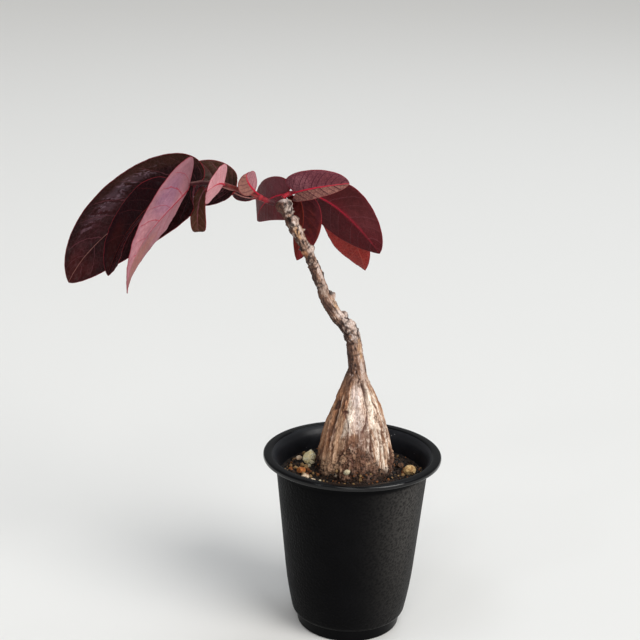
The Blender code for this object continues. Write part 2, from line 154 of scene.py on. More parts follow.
def piece(name, points, faces, skin, nodes=(), marks=None, smooth=True):
    """One object from points in millimetres. marks are values on its points, by name."""
    mesh = bpy.data.meshes.new(name)
    mesh.from_pydata((np.asarray(points, float) * MM).tolist(), [], faces)
    mesh.materials.append(skin)
    mesh.polygons.foreach_set("use_smooth", [smooth] * len(mesh.polygons))
    for mark, values in (marks or {}).items():
        values = np.asarray(values, np.float32)
        kind, field = "FLOAT_VECTOR", "vector"
        if values.ndim == 1:
            kind, field = "FLOAT", "value"
        elif mark.endswith("paint"):
            kind, field = "FLOAT_COLOR", "color"
            values = np.hstack([values, np.ones((len(values), 1), np.float32)])
        mesh.attributes.new(mark, kind, "POINT").data.foreach_set(field, values.ravel())
    face_outwards(mesh)
    made = placed(name, mesh)
    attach(made, "root")
    if nodes:
        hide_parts(*nodes)
    return made


def strip(low, high, count):
    """Quads between two rings of points that start at low and high."""
    return [(low + k, low + (k + 1) % count, high + (k + 1) % count, high + k) for k in range(count)]


def cap(tip, ring, count):
    return [(tip, ring + k, ring + (k + 1) % count) for k in range(count)]


def skin_over(first, rings, last):
    """Points and faces of a closed skin over rings of equally many points, with a tip at each end."""
    count = len(rings[0])
    points = np.vstack([[first], *rings, [last]])
    faces = cap(0, 1, count)
    for ring in range(len(rings) - 1):
        faces += strip(1 + ring * count, 1 + (ring + 1) * count, count)
    return points, faces + cap(len(points) - 1, len(points) - 1 - count, count)


def circle_of(count):
    """Directions of count places around a circle."""
    turns = np.arange(count) * FULL_TURN / count
    return np.column_stack([np.cos(turns), np.sin(turns)])


def level_ring(circle, radius, height, middle=0.0):
    flat = radius * circle + (middle, 0.0)
    return np.column_stack([flat, np.full(len(circle), height)])


# Material nodes

class Skin:
    """A material whose nodes are added one by one, with a colour built up coat by coat."""

    def __init__(self, name, roughness=0.6, shine=0.5, colour=None):
        self.material = bpy.data.materials.new(name)
        self.material.use_nodes = True
        self.tree = self.material.node_tree
        self.shader = self.tree.nodes["Principled BSDF"]
        self.shader.inputs["Roughness"].default_value = roughness
        self.shader.inputs["Specular IOR Level"].default_value = shine
        self.colour = colour

    def add(self, kind, inputs=None, **settings):
        node = self.tree.nodes.new(kind)
        for name, value in settings.items():
            setattr(node, name, value)
        for name, value in (inputs or {}).items():
            self.put(node.inputs[name], value)
        return node

    def put(self, socket, value):
        if isinstance(value, bpy.types.NodeSocket):
            self.tree.links.new(value, socket)
        elif isinstance(value, (tuple, list, np.ndarray)) and len(value) == 3 and socket.type == "RGBA":
            socket.default_value = (*(float(part) for part in value), 1.0)
        else:
            socket.default_value = value

    def math(self, operation, *values):
        node = self.add("ShaderNodeMath", operation=operation)
        for socket, value in zip(node.inputs, (*values, 0.0, 0.0)):
            self.put(socket, value)
        return node.outputs[0]

    def times(self, first, second):
        return self.math("MULTIPLY", first, second)

    def plus(self, first, second):
        return self.math("ADD", first, second)

    def blend(self, share, first, second, way="MIX"):
        node = self.add("ShaderNodeMix", data_type="RGBA", blend_type=way)
        for socket, value in ((node.inputs[0], share), (node.inputs[6], first), (node.inputs[7], second)):
            self.put(socket, value)
        return node.outputs[2]

    def tinted(self, colour, tint):
        return self.blend(1.0, colour, tint, "MULTIPLY")

    def coat(self, share, colour):
        self.colour = self.blend(share, self.colour, colour)

    def ramp(self, value, low, high, start=0.0, end=1.0):
        inputs = {"Value": value, "From Min": low, "From Max": high, "To Min": start, "To Max": end}
        return self.add("ShaderNodeMapRange", inputs, interpolation_type="SMOOTHSTEP").outputs["Result"]

    def mark(self, name, output="Vector"):
        return self.add("ShaderNodeAttribute", attribute_name=name).outputs[output]

    def spot(self):
        return self.add("ShaderNodeTexCoord").outputs["Object"]

    def split(self, vector):
        return self.add("ShaderNodeSeparateXYZ", {"Vector": vector}).outputs

    def noise(self, vector, scale, detail=3.0, roughness=0.55, distortion=0.0):
        inputs = {"Vector": vector, "Scale": scale, "Detail": detail, "Roughness": roughness,
                  "Distortion": distortion}
        return self.add("ShaderNodeTexNoise", inputs).outputs["Fac"]

    def cells(self, vector, scale, feature="F1"):
        inputs = {"Vector": vector, "Scale": scale}
        return self.add("ShaderNodeTexVoronoi", inputs, feature=feature).outputs["Distance"]

    def bump(self, height, distance, strength=1.0):
        node = self.add("ShaderNodeBump", {"Height": height, "Distance": distance, "Strength": strength})
        return node.outputs["Normal"]

    def finish(self, roughness=None, normal=None):
        self.put(self.shader.inputs["Base Color"], self.colour)
        if roughness is not None:
            self.put(self.shader.inputs["Roughness"], roughness)
        if normal is not None:
            self.put(self.shader.inputs["Normal"], normal)
        return self.material


# Camera at the photograph's angle
FOCAL_PIXELS = 1400.0
FRAME_PIXELS = 640.0
SENSOR = 36.0
CAMERA_PLACE = (-17.7, -654.0, 371.0)
CAMERA_PITCH = math.radians(17.65)
CAMERA_ROLL = math.radians(1.2)

lens = bpy.data.cameras.new("camera")
lens.sensor_width = SENSOR
lens.lens = FOCAL_PIXELS / FRAME_PIXELS * SENSOR
lens.clip_start = 0.01
forward = np.array((0.0, math.cos(CAMERA_PITCH), -math.sin(CAMERA_PITCH)))
level = np.array((1.0, 0.0, 0.0))
upright = np.cross(level, forward)
side_way = math.cos(CAMERA_ROLL) * level + math.sin(CAMERA_ROLL) * upright
up_way = -math.sin(CAMERA_ROLL) * level + math.cos(CAMERA_ROLL) * upright
camera = placed("camera", lens)
camera.matrix_world = Matrix([(side_way[i], up_way[i], -forward[i], CAMERA_PLACE[i] * MM) for i in range(3)]
                             + [(0, 0, 0, 1)])
bpy.context.scene.camera = camera

# Soft studio light and a pale floor, in metres
PLANT_MIDDLE = (-0.03, 0.0, 0.16)
LEAF_MIDDLE = (-0.1, 0.0, 0.2)
SUN_WAY = (0.66, -0.6, 0.62)
SUN_POWER = 2.15
SUN_SPREAD = math.radians(42)
SKY_POWER = 0.3
FLOOR_HALF = 6.0
# Name, place, width and height, power, colour, what it looks at
LAMPS = (("window", (3.3, -2.55, 1.6), (2.2, 3.1), 62.0, (1.0, 0.98, 0.95), PLANT_MIDDLE),
         ("ceiling", (1.0, 1.0, 2.6), (1.8, 1.4), 19.0, (0.86, 0.93, 1.0), PLANT_MIDDLE),
         ("front", (0.1, -2.6, 0.3), (1.2, 0.5), 9.0, (1.0, 0.98, 0.96), PLANT_MIDDLE),
         ("above", (-0.3, -2.0, 1.9), (0.9, 0.6), 12.0, (1.0, 0.98, 0.96), PLANT_MIDDLE),
         ("skylight", (-0.95, -0.55, 2.6), (0.8, 0.8), 8.0, (0.9, 0.94, 1.0), PLANT_MIDDLE),
         ("sheen", (-1.7, -1.73, 1.54), (0.22, 0.22), 3.0, (0.95, 0.97, 1.0), LEAF_MIDDLE))
for name, place, size, power, colour, aim in LAMPS:
    light = bpy.data.lights.new(name, "AREA")
    light.shape = "RECTANGLE"
    light.size, light.size_y = size
    light.energy = power
    light.color = colour
    lamp = placed(name, light)
    lamp.location = place
    lamp.rotation_euler = (Vector(aim) - Vector(place)).to_track_quat("-Z", "Y").to_euler()

sun = bpy.data.lights.new("daylight", "SUN")
sun.energy = SUN_POWER
sun.angle = SUN_SPREAD
sun.color = (1.0, 0.99, 0.97)
placed("daylight", sun).rotation_euler = Vector(SUN_WAY).to_track_quat("Z", "Y").to_euler()

world = bpy.data.worlds.new("daylight")
world.use_nodes = True
sky = world.node_tree.nodes["Background"]
sky.inputs["Color"].default_value = (0.96, 0.98, 1.0, 1.0)
sky.inputs["Strength"].default_value = SKY_POWER
bpy.context.scene.world = world
bpy.context.scene.view_settings.view_transform = "Standard"

floor_mesh = bpy.data.meshes.new("floor")
corners = ((-1, -1), (1, -1), (1, 1), (-1, 1))
floor_mesh.from_pydata([(x * FLOOR_HALF, y * FLOOR_HALF, 0.0) for x, y in corners], [], [(0, 1, 2, 3)])
floor_mesh.materials.append(Skin("floor_pale", 0.9, colour=tone(226, 225, 222)).finish())
floor = placed("floor", floor_mesh)


# Pot
POT_HEIGHT = 92.0
RIM_RADIUS = 45.0
RIM_INNER_RADIUS = 40.5
RIM_LIFT = 1.4          # how far the rim stands above its place in the solid
RIM_TILT = 0.018        # how much more it does so in front, a share of the distance
RIM_FROM = 89.6         # height above which the rim has skins of its own
RIM_INSIDE = 40.2       # radius where the inside's skin ends
RIM_EDGE = 44.7         # radius where the edge's skin starts
WALL = 1.2
FLOOR = 1.8
FOOT_HEIGHT = 7.3
FOOT_RADIUS_LOW = 26.3
FOOT_RADIUS_HIGH = 27.2
WALL_RADIUS_TOP = 38.4
WALL_TOP = 86.0
DRAIN_RADIUS = 3.0
DRAIN_CIRCLE = 15.0
DRAIN_COUNT = 6
DRILL_LENGTH = 8.0
POT_SIDES = 240


def outside_radius(height):
    return WALL_RADIUS_TOP - 0.10 * (WALL_TOP - height) - 0.0024 * np.maximum(0.0, 33.0 - height) ** 2


def wall_ring(height, inwards=0.0):
    return float(outside_radius(height)) - inwards, height


def rounded(corners, reach=0.45, steps=3):
    """A path of (radius, height) with each inner corner turned into a small curve."""
    rows = [np.array(p, float) for p in corners]
    out = [rows[0]]
    for before, here, after in zip(rows, rows[1:], rows[2:]):
        enter = here + (before - here) * min(0.5, reach / np.linalg.norm(before - here))
        leave = here + (after - here) * min(0.5, reach / np.linalg.norm(after - here))
        for part in np.linspace(0, 1, steps):
            out.append((1 - part) ** 2 * enter + 2 * part * (1 - part) * here + part ** 2 * leave)
    out.append(rows[-1])
    return [tuple(p) for p in out]


def pot_profile():
    """The pot's outline from the middle of its underside, over the rim, to the middle of its floor."""
    foot = rounded([(0.0, 0.0), (25.5, 0.0), (FOOT_RADIUS_LOW, 0.7), (FOOT_RADIUS_HIGH, FOOT_HEIGHT - 0.3),
                    (28.6, FOOT_HEIGHT), wall_ring(8.4), wall_ring(12.0)])
    heights = list(np.linspace(14.0, 84.0, 36))
    outside = [wall_ring(height) for height in heights]
    flare = smooth_path([(38.2, 84.8), (38.45, 86.6), (38.95, 88.2), (40.0, 89.7), (41.6, 90.5),
                         (43.5, 90.6)], 4)
    lip = rounded([(43.6, 90.55), (43.8, 89.6), (44.7, 89.5), (RIM_RADIUS, 90.0), (RIM_RADIUS, 91.3),
                   (44.4, POT_HEIGHT), (41.2, POT_HEIGHT), (RIM_INNER_RADIUS, 91.7), (39.2, 90.4),
                   (38.0, 88.4), (37.25, 86.4)], 0.35)
    inside = [wall_ring(height, WALL) for height in reversed(heights)]
    bowl = rounded([wall_ring(12.0, WALL), wall_ring(9.0, WALL), (26.0, 7.0), (25.0, FLOOR), (0.0, FLOOR)])
    return foot + outside + [tuple(p) for p in flare] + lip + inside + bowl


def with_drain_holes(points, faces):
    """The pot's points and faces once its floor is drilled."""
    blank = bpy.data.meshes.new("pot_blank")
    blank.from_pydata((points * MM).tolist(), [], faces)
    face_outwards(blank)
    drill = bmesh.new()
    for way in circle_of(DRAIN_COUNT):
        made = bmesh.ops.create_cone(drill, cap_ends=True, segments=40, radius1=DRAIN_RADIUS * MM,
                                     radius2=DRAIN_RADIUS * MM, depth=DRILL_LENGTH * MM)
        shift = Vector((DRAIN_CIRCLE * way[0], DRAIN_CIRCLE * way[1], FLOOR / 2)) * MM
        bmesh.ops.translate(drill, verts=made["verts"], vec=shift)
    drill_mesh = bpy.data.meshes.new("drill")
    drill.to_mesh(drill_mesh)
    drill.free()
    blank_object = placed("pot_blank", blank)
    drill_object = placed("drill", drill_mesh)
    cut = blank_object.modifiers.new("drain_holes", "BOOLEAN")
    cut.operation = "DIFFERENCE"
    cut.solver = "EXACT"
    cut.object = drill_object
    graph = bpy.context.evaluated_depsgraph_get()
    holed = bpy.data.meshes.new_from_object(blank_object.evaluated_get(graph))
    bpy.data.objects.remove(blank_object)
    bpy.data.objects.remove(drill_object)
    return np.array([v.co for v in holed.vertices]) / MM, [tuple(p.vertices) for p in holed.polygons]


POT_BLACK = tone(6, 6, 7)
# The inside: the black plastic painted lighter and bluish, as a painted sheen.
POT_INSIDE_SHEEN = tone(22, 23, 27)
# Grey for dust, for worn edges, and for the sheen painted on the wall's front right.
POT_DUST_AND_SHEEN = tone(64, 62, 60)
DUST_SPECK = tone(150, 150, 150)


def grained_black():
    """Black plastic with a leather grain, some dust, worn edges and a painted sheen down its front right."""
    skin = Skin("pot_black", 0.45, 0.035)
    spot = skin.spot()
    grain_share, painted_sheen_band, wear = skin.split(skin.mark("where"))
    leather = skin.cells(spot, 900.0, "SMOOTH_F1")
    pebble = skin.noise(spot, 1500.0, 2.0)
    haze = skin.noise(spot, 60.0, 4.0)
    smear = skin.noise(spot, 18.0, 5.0, 0.65, 0.8)
    dust = skin.times(skin.ramp(skin.cells(spot, 160.0), 0.12, 0.05), skin.ramp(smear, 0.5, 0.62))
    skin.colour = skin.blend(skin.ramp(haze, 0.35, 0.7), POT_BLACK, POT_BLACK * 1.35)
    # Painted sheen: the wall is lighter towards its front right, broken up by the leather grain.
    skin.coat(skin.times(painted_sheen_band, skin.ramp(leather, 0.1, 0.6, 0.2, 0.75)), POT_DUST_AND_SHEEN)
    skin.coat(skin.times(dust, 0.35), POT_DUST_AND_SHEEN)
    skin.coat(skin.times(wear, 0.22), POT_DUST_AND_SHEEN)
    roughness = skin.plus(skin.ramp(smear, 0.3, 0.7, -0.06, 0.06),
                          skin.ramp(grain_share, 0.0, 1.0, 0.34, 0.46))
    grain = skin.times(skin.plus(leather, skin.times(pebble, 0.5)),
                       skin.ramp(grain_share, 0.0, 1.0, 0.08, 1.0))
    return skin.finish(roughness, skin.bump(grain, 0.00028, 0.9))


def smooth_black(name, body, shine, rough_low, rough_high):
    """The plastic of the inside and the rim, smoother than the grained wall."""
    skin = Skin(name, 0.3, shine)
    spot = skin.spot()
    haze = skin.noise(spot, 90.0, 5.0, 0.65, 0.6)
    dust = skin.times(skin.ramp(skin.cells(spot, 230.0), 0.1, 0.05), skin.ramp(haze, 0.52, 0.6))
    skin.colour = skin.blend(skin.ramp(haze, 0.35, 0.7), body, body * 1.5)
    skin.coat(skin.times(dust, 0.6), DUST_SPECK)
    scuff = skin.noise(spot, 700.0, 3.0)
    return skin.finish(skin.ramp(haze, 0.3, 0.7, rough_low, rough_high), skin.bump(scuff, 0.00006, 0.6))


profile = pot_profile()
circle = circle_of(POT_SIDES)
pot_points, pot_faces = skin_over((0.0, 0.0, profile[0][1]),
                                  [level_ring(circle, radius, height) for radius, height in profile[1:-1]],
                                  (0.0, 0.0, profile[-1][1]))
pot_points, pot_faces = with_drain_holes(pot_points, pot_faces)
pot_points[:, 2] += step(pot_points[:, 2], 80.0, 90.0) * (RIM_LIFT - RIM_TILT * pot_points[:, 1])
reach = np.hypot(pot_points[:, 0], pot_points[:, 1])
high = pot_points[:, 2]
outer = (reach > outside_radius(high) - WALL / 2).astype(float)
on_wall = outer * step(high, 7.5, 9.5) * step(high, 87.5, 85.5)
turn = np.degrees(np.arctan2(pot_points[:, 1], pot_points[:, 0]))
# Painted sheen: a band of the outer wall towards the front right, stronger higher up.
painted_sheen_band = np.exp(-((turn + 40) / 25) ** 2) * on_wall * (0.35 + 0.65 * step(high, 5.0, 75.0))
edge_wear = step(np.abs(reach - RIM_RADIUS), 0.5, 0.0) + step(np.abs(high - FOOT_HEIGHT), 0.5, 0.0) * outer
shell = piece("pot_shell", pot_points, pot_faces, grained_black(), ("pot",),
              {"where": np.column_stack([on_wall, painted_sheen_band, np.clip(edge_wear, 0, 1)])})
shell.data.materials.append(smooth_black("inside_black", POT_INSIDE_SHEEN, 0.3, 0.34, 0.46))
shell.data.materials.append(smooth_black("rim_black", POT_BLACK, 0.12, 0.15, 0.25))
shell.data.materials.append(smooth_black("rim_edge", POT_BLACK, 0.3, 0.08, 0.14))
for face in shell.data.polygons:
    middle = face.center / MM
    out = math.hypot(middle.x, middle.y)
    within = middle.z > 40.0 and out < outside_radius(middle.z) - WALL / 2
    if middle.z > RIM_FROM:
        face.material_index = 1 if out < RIM_INSIDE else 2 if out < RIM_EDGE else 3
    else:
        face.material_index = 1 if within else 0


# Soil: a solid plug with a crumbly top around the caudex
SEAM = 0.32
SOIL_LEVEL = 84.0
SOIL_RADIUS = 36.7
PIT_RADIUS = 20.2
PIT_EDGE = 19.2
PIT_FLOOR = 57.6
PIT = ((2.6, PIT_FLOOR), (7.0, 61.0), (12.0, 66.0), (16.4, 72.0), (18.6, 78.0))
CAUDEX_X = 1.7
SOIL_SIDES = 420
SOIL_RINGS = 46
SOIL_DIP = 2.6          # how much lower the soil lies behind the caudex
LUMP_HEIGHT = 1.1
LUMPS = ((0.9, 0.13, 4.1), (0.7, 0.35, 9.7), (0.5, 0.8, 1.3))    # share, how fine, layer of the noise
STONE_CLEAR = 1.2       # how far around a stone the soil stays level
CRUMB_COUNT = 1300
GRIT_COUNT = 110
CLING_COUNT = 420
CLING_RADIUS = 19.9
CLING_HEIGHT = 7.0
# Stones that stand out: name, x, y, half-width, half-height, slot
STONES = (
    ("stone_pumice", -21.8, 6.0, 3.2, 4.0, "pumice"),
    ("stone_tan", 29.0, -5.2, 3.0, 2.4, "stone_ochre"),
    ("stone_brown", 24.6, 2.0, 1.7, 1.4, "stone_dark"),
    ("grit_cream_back", -27.0, 9.6, 1.5, 1.2, "grit_pale"),
    ("grit_cream_left", -23.4, -13.6, 1.9, 1.4, "grit_pale"),
    ("grit_cream_front", -19.6, -17.4, 1.3, 1.1, "grit_pale"),
    ("grit_orange", -25.6, -6.6, 2.2, 1.6, "grit_rust"),
)
STONE_GAP = 0.35        # between a stone and the level soil


def held(value):
    return min(1.0, max(0.0, value))


def soil_height(x, y):
    """Lumpy soil that is level where a stone lies and where it meets the pot and the plant."""
    lumps = sum(high * soft_noise.noise(Vector((x * fine, y * fine, layer))) for high, fine, layer in LUMPS)
    past_caudex = math.hypot(x - CAUDEX_X, y) - PIT_RADIUS
    calm = held((SOIL_RADIUS - math.hypot(x, y)) / 3.0) * held(past_caudex / 2.0)
    clear = 1.0
    for _, stone_x, stone_y, half, _, _ in STONES:
        clear *= held((math.hypot(x - stone_x, y - stone_y) - half - STONE_CLEAR) / 2.0)
    behind = held(past_caudex / 10.0) * held((y + 2.0) / 12.0)
    return SOIL_LEVEL + LUMP_HEIGHT * lumps * calm * clear - SOIL_DIP * behind * clear


SOIL_UMBER = tone(44, 31, 22)
SOIL_BLACK = tone(16, 12, 9)
SOIL_RUST = tone(96, 60, 32)


def damp_soil():
    skin = Skin("soil_dark", 0.95)
    spot = skin.spot()
    clods = skin.noise(spot, 420.0, 4.0, 0.65)
    grains = skin.cells(spot, 1300.0)
    fine = skin.noise(spot, 2600.0, 2.0)
    skin.colour = skin.blend(skin.ramp(clods, 0.38, 0.62), SOIL_BLACK, SOIL_UMBER)
    skin.coat(skin.ramp(skin.noise(spot, 900.0, 2.0), 0.6, 0.72), SOIL_RUST)
    height = skin.plus(skin.times(grains, 0.7), fine)
    return skin.finish(skin.ramp(fine, 0.3, 0.7, 0.8, 1.0), skin.bump(height, 0.0005))


circle = circle_of(SOIL_SIDES)
soil_rings = [level_ring(circle, radius, height, CAUDEX_X) for radius, height in PIT]
for share in np.linspace(0, 1, SOIL_RINGS):
    near = np.array((CAUDEX_X, 0.0)) + PIT_EDGE * circle
    flat = near + share * (SOIL_RADIUS * circle - near)
    level = np.array([soil_height(x, y) for x, y in flat])
    at = np.column_stack([flat, np.zeros(SOIL_SIDES)])
    near_lump, _, size = cells(at / 2.1, 3)
    small_lump, _, _ = cells(at, 4)
    crumbs = 0.75 * size * step(near_lump, 0.7, 0.1) + 0.35 * step(small_lump, 0.7, 0.1)
    fade = step(share, 1.0, 0.94)
    soil_rings.append(np.column_stack([flat, level + (crumbs - 0.25) * fade]))
for height in (80.0, 62.0, 40.0, 28.0, 20.0, 13.0, 9.2):
    soil_rings.append(level_ring(circle, *wall_ring(height, WALL + SEAM)))
for radius, height in ((25.5, 6.8), (24.6, FLOOR + SEAM)):
    soil_rings.append(level_ring(circle, radius, height))
soil_points, soil_faces = skin_over((CAUDEX_X, 0.0, PIT_FLOOR), soil_rings, (0.0, 0.0, FLOOR + SEAM))
piece("soil_bed", soil_points, soil_faces, damp_soil(), ("soil",))


# Grit and crumbs

def sphere(splits):
    shape = bmesh.new()
    bmesh.ops.create_icosphere(shape, subdivisions=splits, radius=1.0)
    points = np.array([v.co for v in shape.verts])
    faces = [tuple(v.index for v in face.verts) for face in shape.faces]
    shape.free()
    return unit(points), faces


def broken(ways, seed, flats=11, bite=0.35):
    """Radii of a broken stone: a ball with flat breaks and a rough skin."""
    draw = np.random.default_rng(seed)
    cuts = unit(draw.normal(size=(flats, 3)))
    depths = draw.uniform(1.0 - bite, 1.0, flats)
    facing = np.maximum(ways @ cuts.T, 1e-3)
    radii = np.minimum(1.06, (depths / facing).min(axis=1))
    return radii * (1 + 0.05 * noise(ways * 3.0 + seed, seed))


def painted_grit():
    """Small stones that carry their own colours."""
    skin = Skin("grit", 0.9)
    spot = skin.spot()
    paint = skin.mark("paint", "Color")
    mottle = skin.noise(spot, 1100.0, 3.0, 0.6)
    skin.colour = skin.blend(skin.ramp(mottle, 0.35, 0.7), skin.tinted(paint, (0.62, 0.56, 0.5)), paint)
    height = skin.plus(mottle, skin.times(skin.cells(spot, 2400.0), 0.5))
    return skin.finish(skin.ramp(mottle, 0.3, 0.7, 0.75, 0.98), skin.bump(height, 0.00045))


EARTH = {"black": tone(24, 17, 13), "umber": tone(58, 40, 27), "rust": tone(138, 84, 40),
         "tan": tone(160, 128, 84), "cream": tone(252, 242, 206), "grey": tone(120, 110, 96)}
GRIT_SKIN = painted_grit()
SMALL, LARGE = 0, 1
GRIT_BLANKS = [(ways, faces, [broken(ways, 40 + k) for k in range(10)])
               for ways, faces in (sphere(2), sphere(3))]


def free_spot(draw):
    """A place on the soil between the caudex and the pot."""
    while True:
        x, y = draw.uniform(-SOIL_RADIUS, SOIL_RADIUS, 2)
        if math.hypot(x, y) < SOIL_RADIUS - 0.9 and math.hypot(x - CAUDEX_X, y) > PIT_RADIUS - 0.4:
            return x, y


def spin(draw):
    axis = unit(draw.normal(size=3))
    return np.array(Matrix.Rotation(draw.uniform(0, FULL_TURN), 3, Vector(axis)))


def scatter(name, wanted, blank, seed):
    """One object of many small stones: rows of x, y, z, size and colour name."""
    draw = np.random.default_rng(seed)
    ways, faces, shapes = GRIT_BLANKS[blank]
    points = []
    corners = []
    colours = []
    for number, (x, y, z, size, colour_name) in enumerate(wanted):
        radii = shapes[draw.integers(len(shapes))]
        stretch = draw.uniform(0.7, 1.1, 3) * size
        points.append((ways * radii[:, None] * stretch) @ spin(draw).T + (x, y, z))
        corners.append(np.array(faces) + number * len(ways))
        colours.append(np.tile(EARTH[colour_name] * draw.uniform(0.75, 1.15), (len(ways), 1)))
    piece(name, np.vstack(points), np.vstack(corners).tolist(), GRIT_SKIN,
          marks={"paint": np.vstack(colours)}, smooth=False)


def strewn(draw, count, smallest, largest, blacks, umbers, lift, lift_share):
    """Rows for scatter, at random places on the soil."""
    rows = []
    for _ in range(count):
        x, y = free_spot(draw)
        size = draw.uniform(smallest, largest)
        colour_name = draw.choice(["black"] * blacks + ["umber"] * umbers + ["rust", "tan"])
        rows.append((x, y, soil_height(x, y) + lift + lift_share * size, size, colour_name))
    return rows


draw = np.random.default_rng(5)
scatter("soil_crumbs", strewn(draw, CRUMB_COUNT, 0.25, 0.8, 5, 6, 0.2, 0.3), SMALL, 6)
grits = [row for row in strewn(draw, GRIT_COUNT, 0.6, 1.4, 3, 5, 0.0, 0.4)
         if all(math.hypot(row[0] - stone[1], row[1] - stone[2]) > stone[3] + row[3] for stone in STONES)]
scatter("soil_grit", grits, LARGE, 7)
# Small bits around the caudex: x, y, z, size, colour
FRONT_BITS = (
    (-2.9, -18.9, 90.4, 1.5, "cream"), (3.7, -19.3, 88.7, 1, "tan"), (3.9, -19.6, 86.9, 0.9, "tan"),
    (-7.9, -16.9, 90, 0.9, "tan"), (-8.2, -17.6, 87.8, 0.8, "grey"), (8.9, -18.2, 89.4, 0.7, "tan"),
    (-17.2, -11.6, 85.8, 0.9, "rust"), (-16, -16.6, 84.4, 1, "cream"), (8.2, -20.2, 84.3, 0.9, "rust"),
    (-12.8, -18.4, 84.4, 0.8, "tan"), (0.2, -20.8, 84.2, 0.9, "umber"), (-21.6, 1.6, 84.6, 1, "cream"),
    (-26.5, -1.2, 84.4, 0.9, "cream"), (-24.2, -3, 84.6, 1.1, "tan"), (-22.6, -9.6, 84.7, 1.2, "rust"),
    (-20.7, -6.4, 84.6, 1.2, "rust"), (-29.2, 2.8, 84.4, 0.8, "umber"), (23.2, -3.6, 84.6, 1, "umber"),
    (25.8, -6, 84.6, 1.1, "rust"), (27.4, 0.8, 84.6, 1, "rust"), (31.4, -1.8, 84.4, 0.9, "tan"),
    (-25, 1, 85.2, 1.4, "tan"), (-23.2, -1.6, 85.2, 1.4, "tan"), (-22, -4.4, 85.2, 1.4, "rust"),
    (-28.6, -1.6, 84.9, 1.2, "tan"), (-30.2, -5.2, 84.8, 1.1, "rust"), (-24.4, -10.2, 85, 1.3, "tan"),
    (-20.8, -12.6, 85, 1.1, "tan"), (-31, 1.2, 84.8, 1, "tan"), (-20.2, 3.4, 86, 1.4, "cream"),
    (27, -2.4, 84.9, 1.3, "tan"), (30.6, 1.8, 84.9, 1.3, "umber"), (25.4, -8.6, 84.9, 1.2, "tan"),
)
scatter("soil_front_bits", FRONT_BITS, LARGE, 8)
# Crumbs that cling to the foot of the caudex
clinging = []
for _ in range(CLING_COUNT):
    way = draw.uniform(-math.pi, math.pi)
    up = CLING_HEIGHT * draw.random() ** 2
    size = draw.uniform(0.25, 0.7)
    away = CLING_RADIUS - 0.09 * up
    colour_name = draw.choice(["black"] * 3 + ["umber"] * 4 + ["rust"])
    x, y = CAUDEX_X + away * math.cos(way), away * math.sin(way)
    clinging.append((x, y, SOIL_LEVEL + up, size, colour_name))
scatter("soil_clinging", clinging, SMALL, 9)


def rock(name, pale, middle, deep):
    """A dry porous stone with darker pits."""
    skin = Skin(name, 0.9)
    spot = skin.spot()
    mottle = skin.noise(spot, 520.0, 4.0, 0.6)
    pores = skin.cells(spot, 1700.0)
    skin.colour = skin.blend(skin.ramp(mottle, 0.36, 0.62), middle, pale)
    skin.coat(skin.times(skin.ramp(pores, 0.3, 0.1), 0.5), middle)
    skin.coat(skin.ramp(skin.mark("pit", "Fac"), 0.0, 1.0), deep)
    height = skin.plus(skin.noise(spot, 2300.0, 3.0), pores)
    return skin.finish(skin.ramp(mottle, 0.3, 0.7, 0.8, 0.97), skin.bump(height, 0.0004))


STONE_TONES = {"pumice": (tone(255, 248, 214), tone(255, 236, 176), tone(212, 170, 102)),
               "stone_ochre": (tone(222, 188, 132), tone(176, 132, 80), tone(96, 64, 36)),
               "stone_dark": (tone(110, 76, 50), tone(70, 46, 32), tone(40, 26, 20)),
               "grit_pale": (tone(232, 210, 182), tone(190, 158, 126), tone(130, 98, 72)),
               "grit_rust": (tone(196, 122, 58), tone(150, 84, 36), tone(86, 46, 24))}
stone_skins = {slot: rock(slot, *tones) for slot, tones in STONE_TONES.items()}
stone_ways, stone_faces = sphere(5)
for number, (name, x, y, half, tall, slot) in enumerate(STONES):
    radii = broken(stone_ways, 70 + number, 9, 0.48 if slot == "pumice" else 0.34)
    near, after, pick = cells(stone_ways * (2.2 if half < 2 else 3.4), 20 + number)
    pit = step(near, 0.32, 0.12) * (pick > 0.45)
    seam = step(after - near, 0.1, 0.0) * 0.4
    radii = radii * (1 - 0.09 * pit - 0.03 * seam) + 0.02 * noise(stone_ways * 9, number)
    body = stone_ways * radii[:, None] * (half, half * 0.93, tall)
    body[:, 2] = np.maximum(body[:, 2], -0.82 * tall)
    body = body + (x, y, SOIL_LEVEL + STONE_GAP - body[:, 2].min())
    piece(name + "_rock", body, stone_faces, stone_skins[slot], (name,),
          {"pit": np.clip(pit + seam, 0, 1)})


# Caudex and stem: x, y, z and radius of points up the middle
TRUNK = (
    (1.7, 0, 58, 2), (1.7, 0, 61, 6.5), (1.7, 0, 66, 11.6), (1.7, 0, 72, 16), (1.7, 0, 78, 18.7),
    (1.7, 0, 84, 19.6), (1.7, 0, 92, 18.9), (1.7, 0, 100, 17.3), (1.5, 0, 108, 15.1), (1.3, 0, 117, 12.1),
    (1, 0, 125, 8.9), (0.8, 0, 132, 6.2), (1.1, 0, 138, 4.4), (0.2, -0.2, 144.5, 3.9),
    (-0.2, -0.4, 148, 3.8), (-1, -0.5, 152.8, 3.7), (-2.2, -0.7, 156, 3.7), (-4.4, -0.9, 159.9, 3.3),
    (-6.9, -1, 162.8, 3), (-9.7, -1.1, 166, 3), (-12.1, -1.2, 169.5, 3.1), (-14, -1.4, 173, 3.2),
    (-15.6, -1.5, 176.2, 2.9), (-17, -1.7, 180, 2.6), (-19.3, -1.9, 186.3, 2.6), (-21.4, -2.1, 191.3, 2.6),
    (-22.6, -2.2, 194.3, 2.3), (-24.8, -2.4, 199, 2.7), (-27, -2.6, 203, 2.3), (-29.6, -2.8, 208, 2.7),
    (-32.4, -3, 213.5, 2.8), (-34.2, -3, 216.6, 2.7), (-35.6, -3, 220.4, 3.7), (-35.9, -3, 222.8, 3.3),
)
TRUNK_TOP = (-36.1, -3, 223.9)
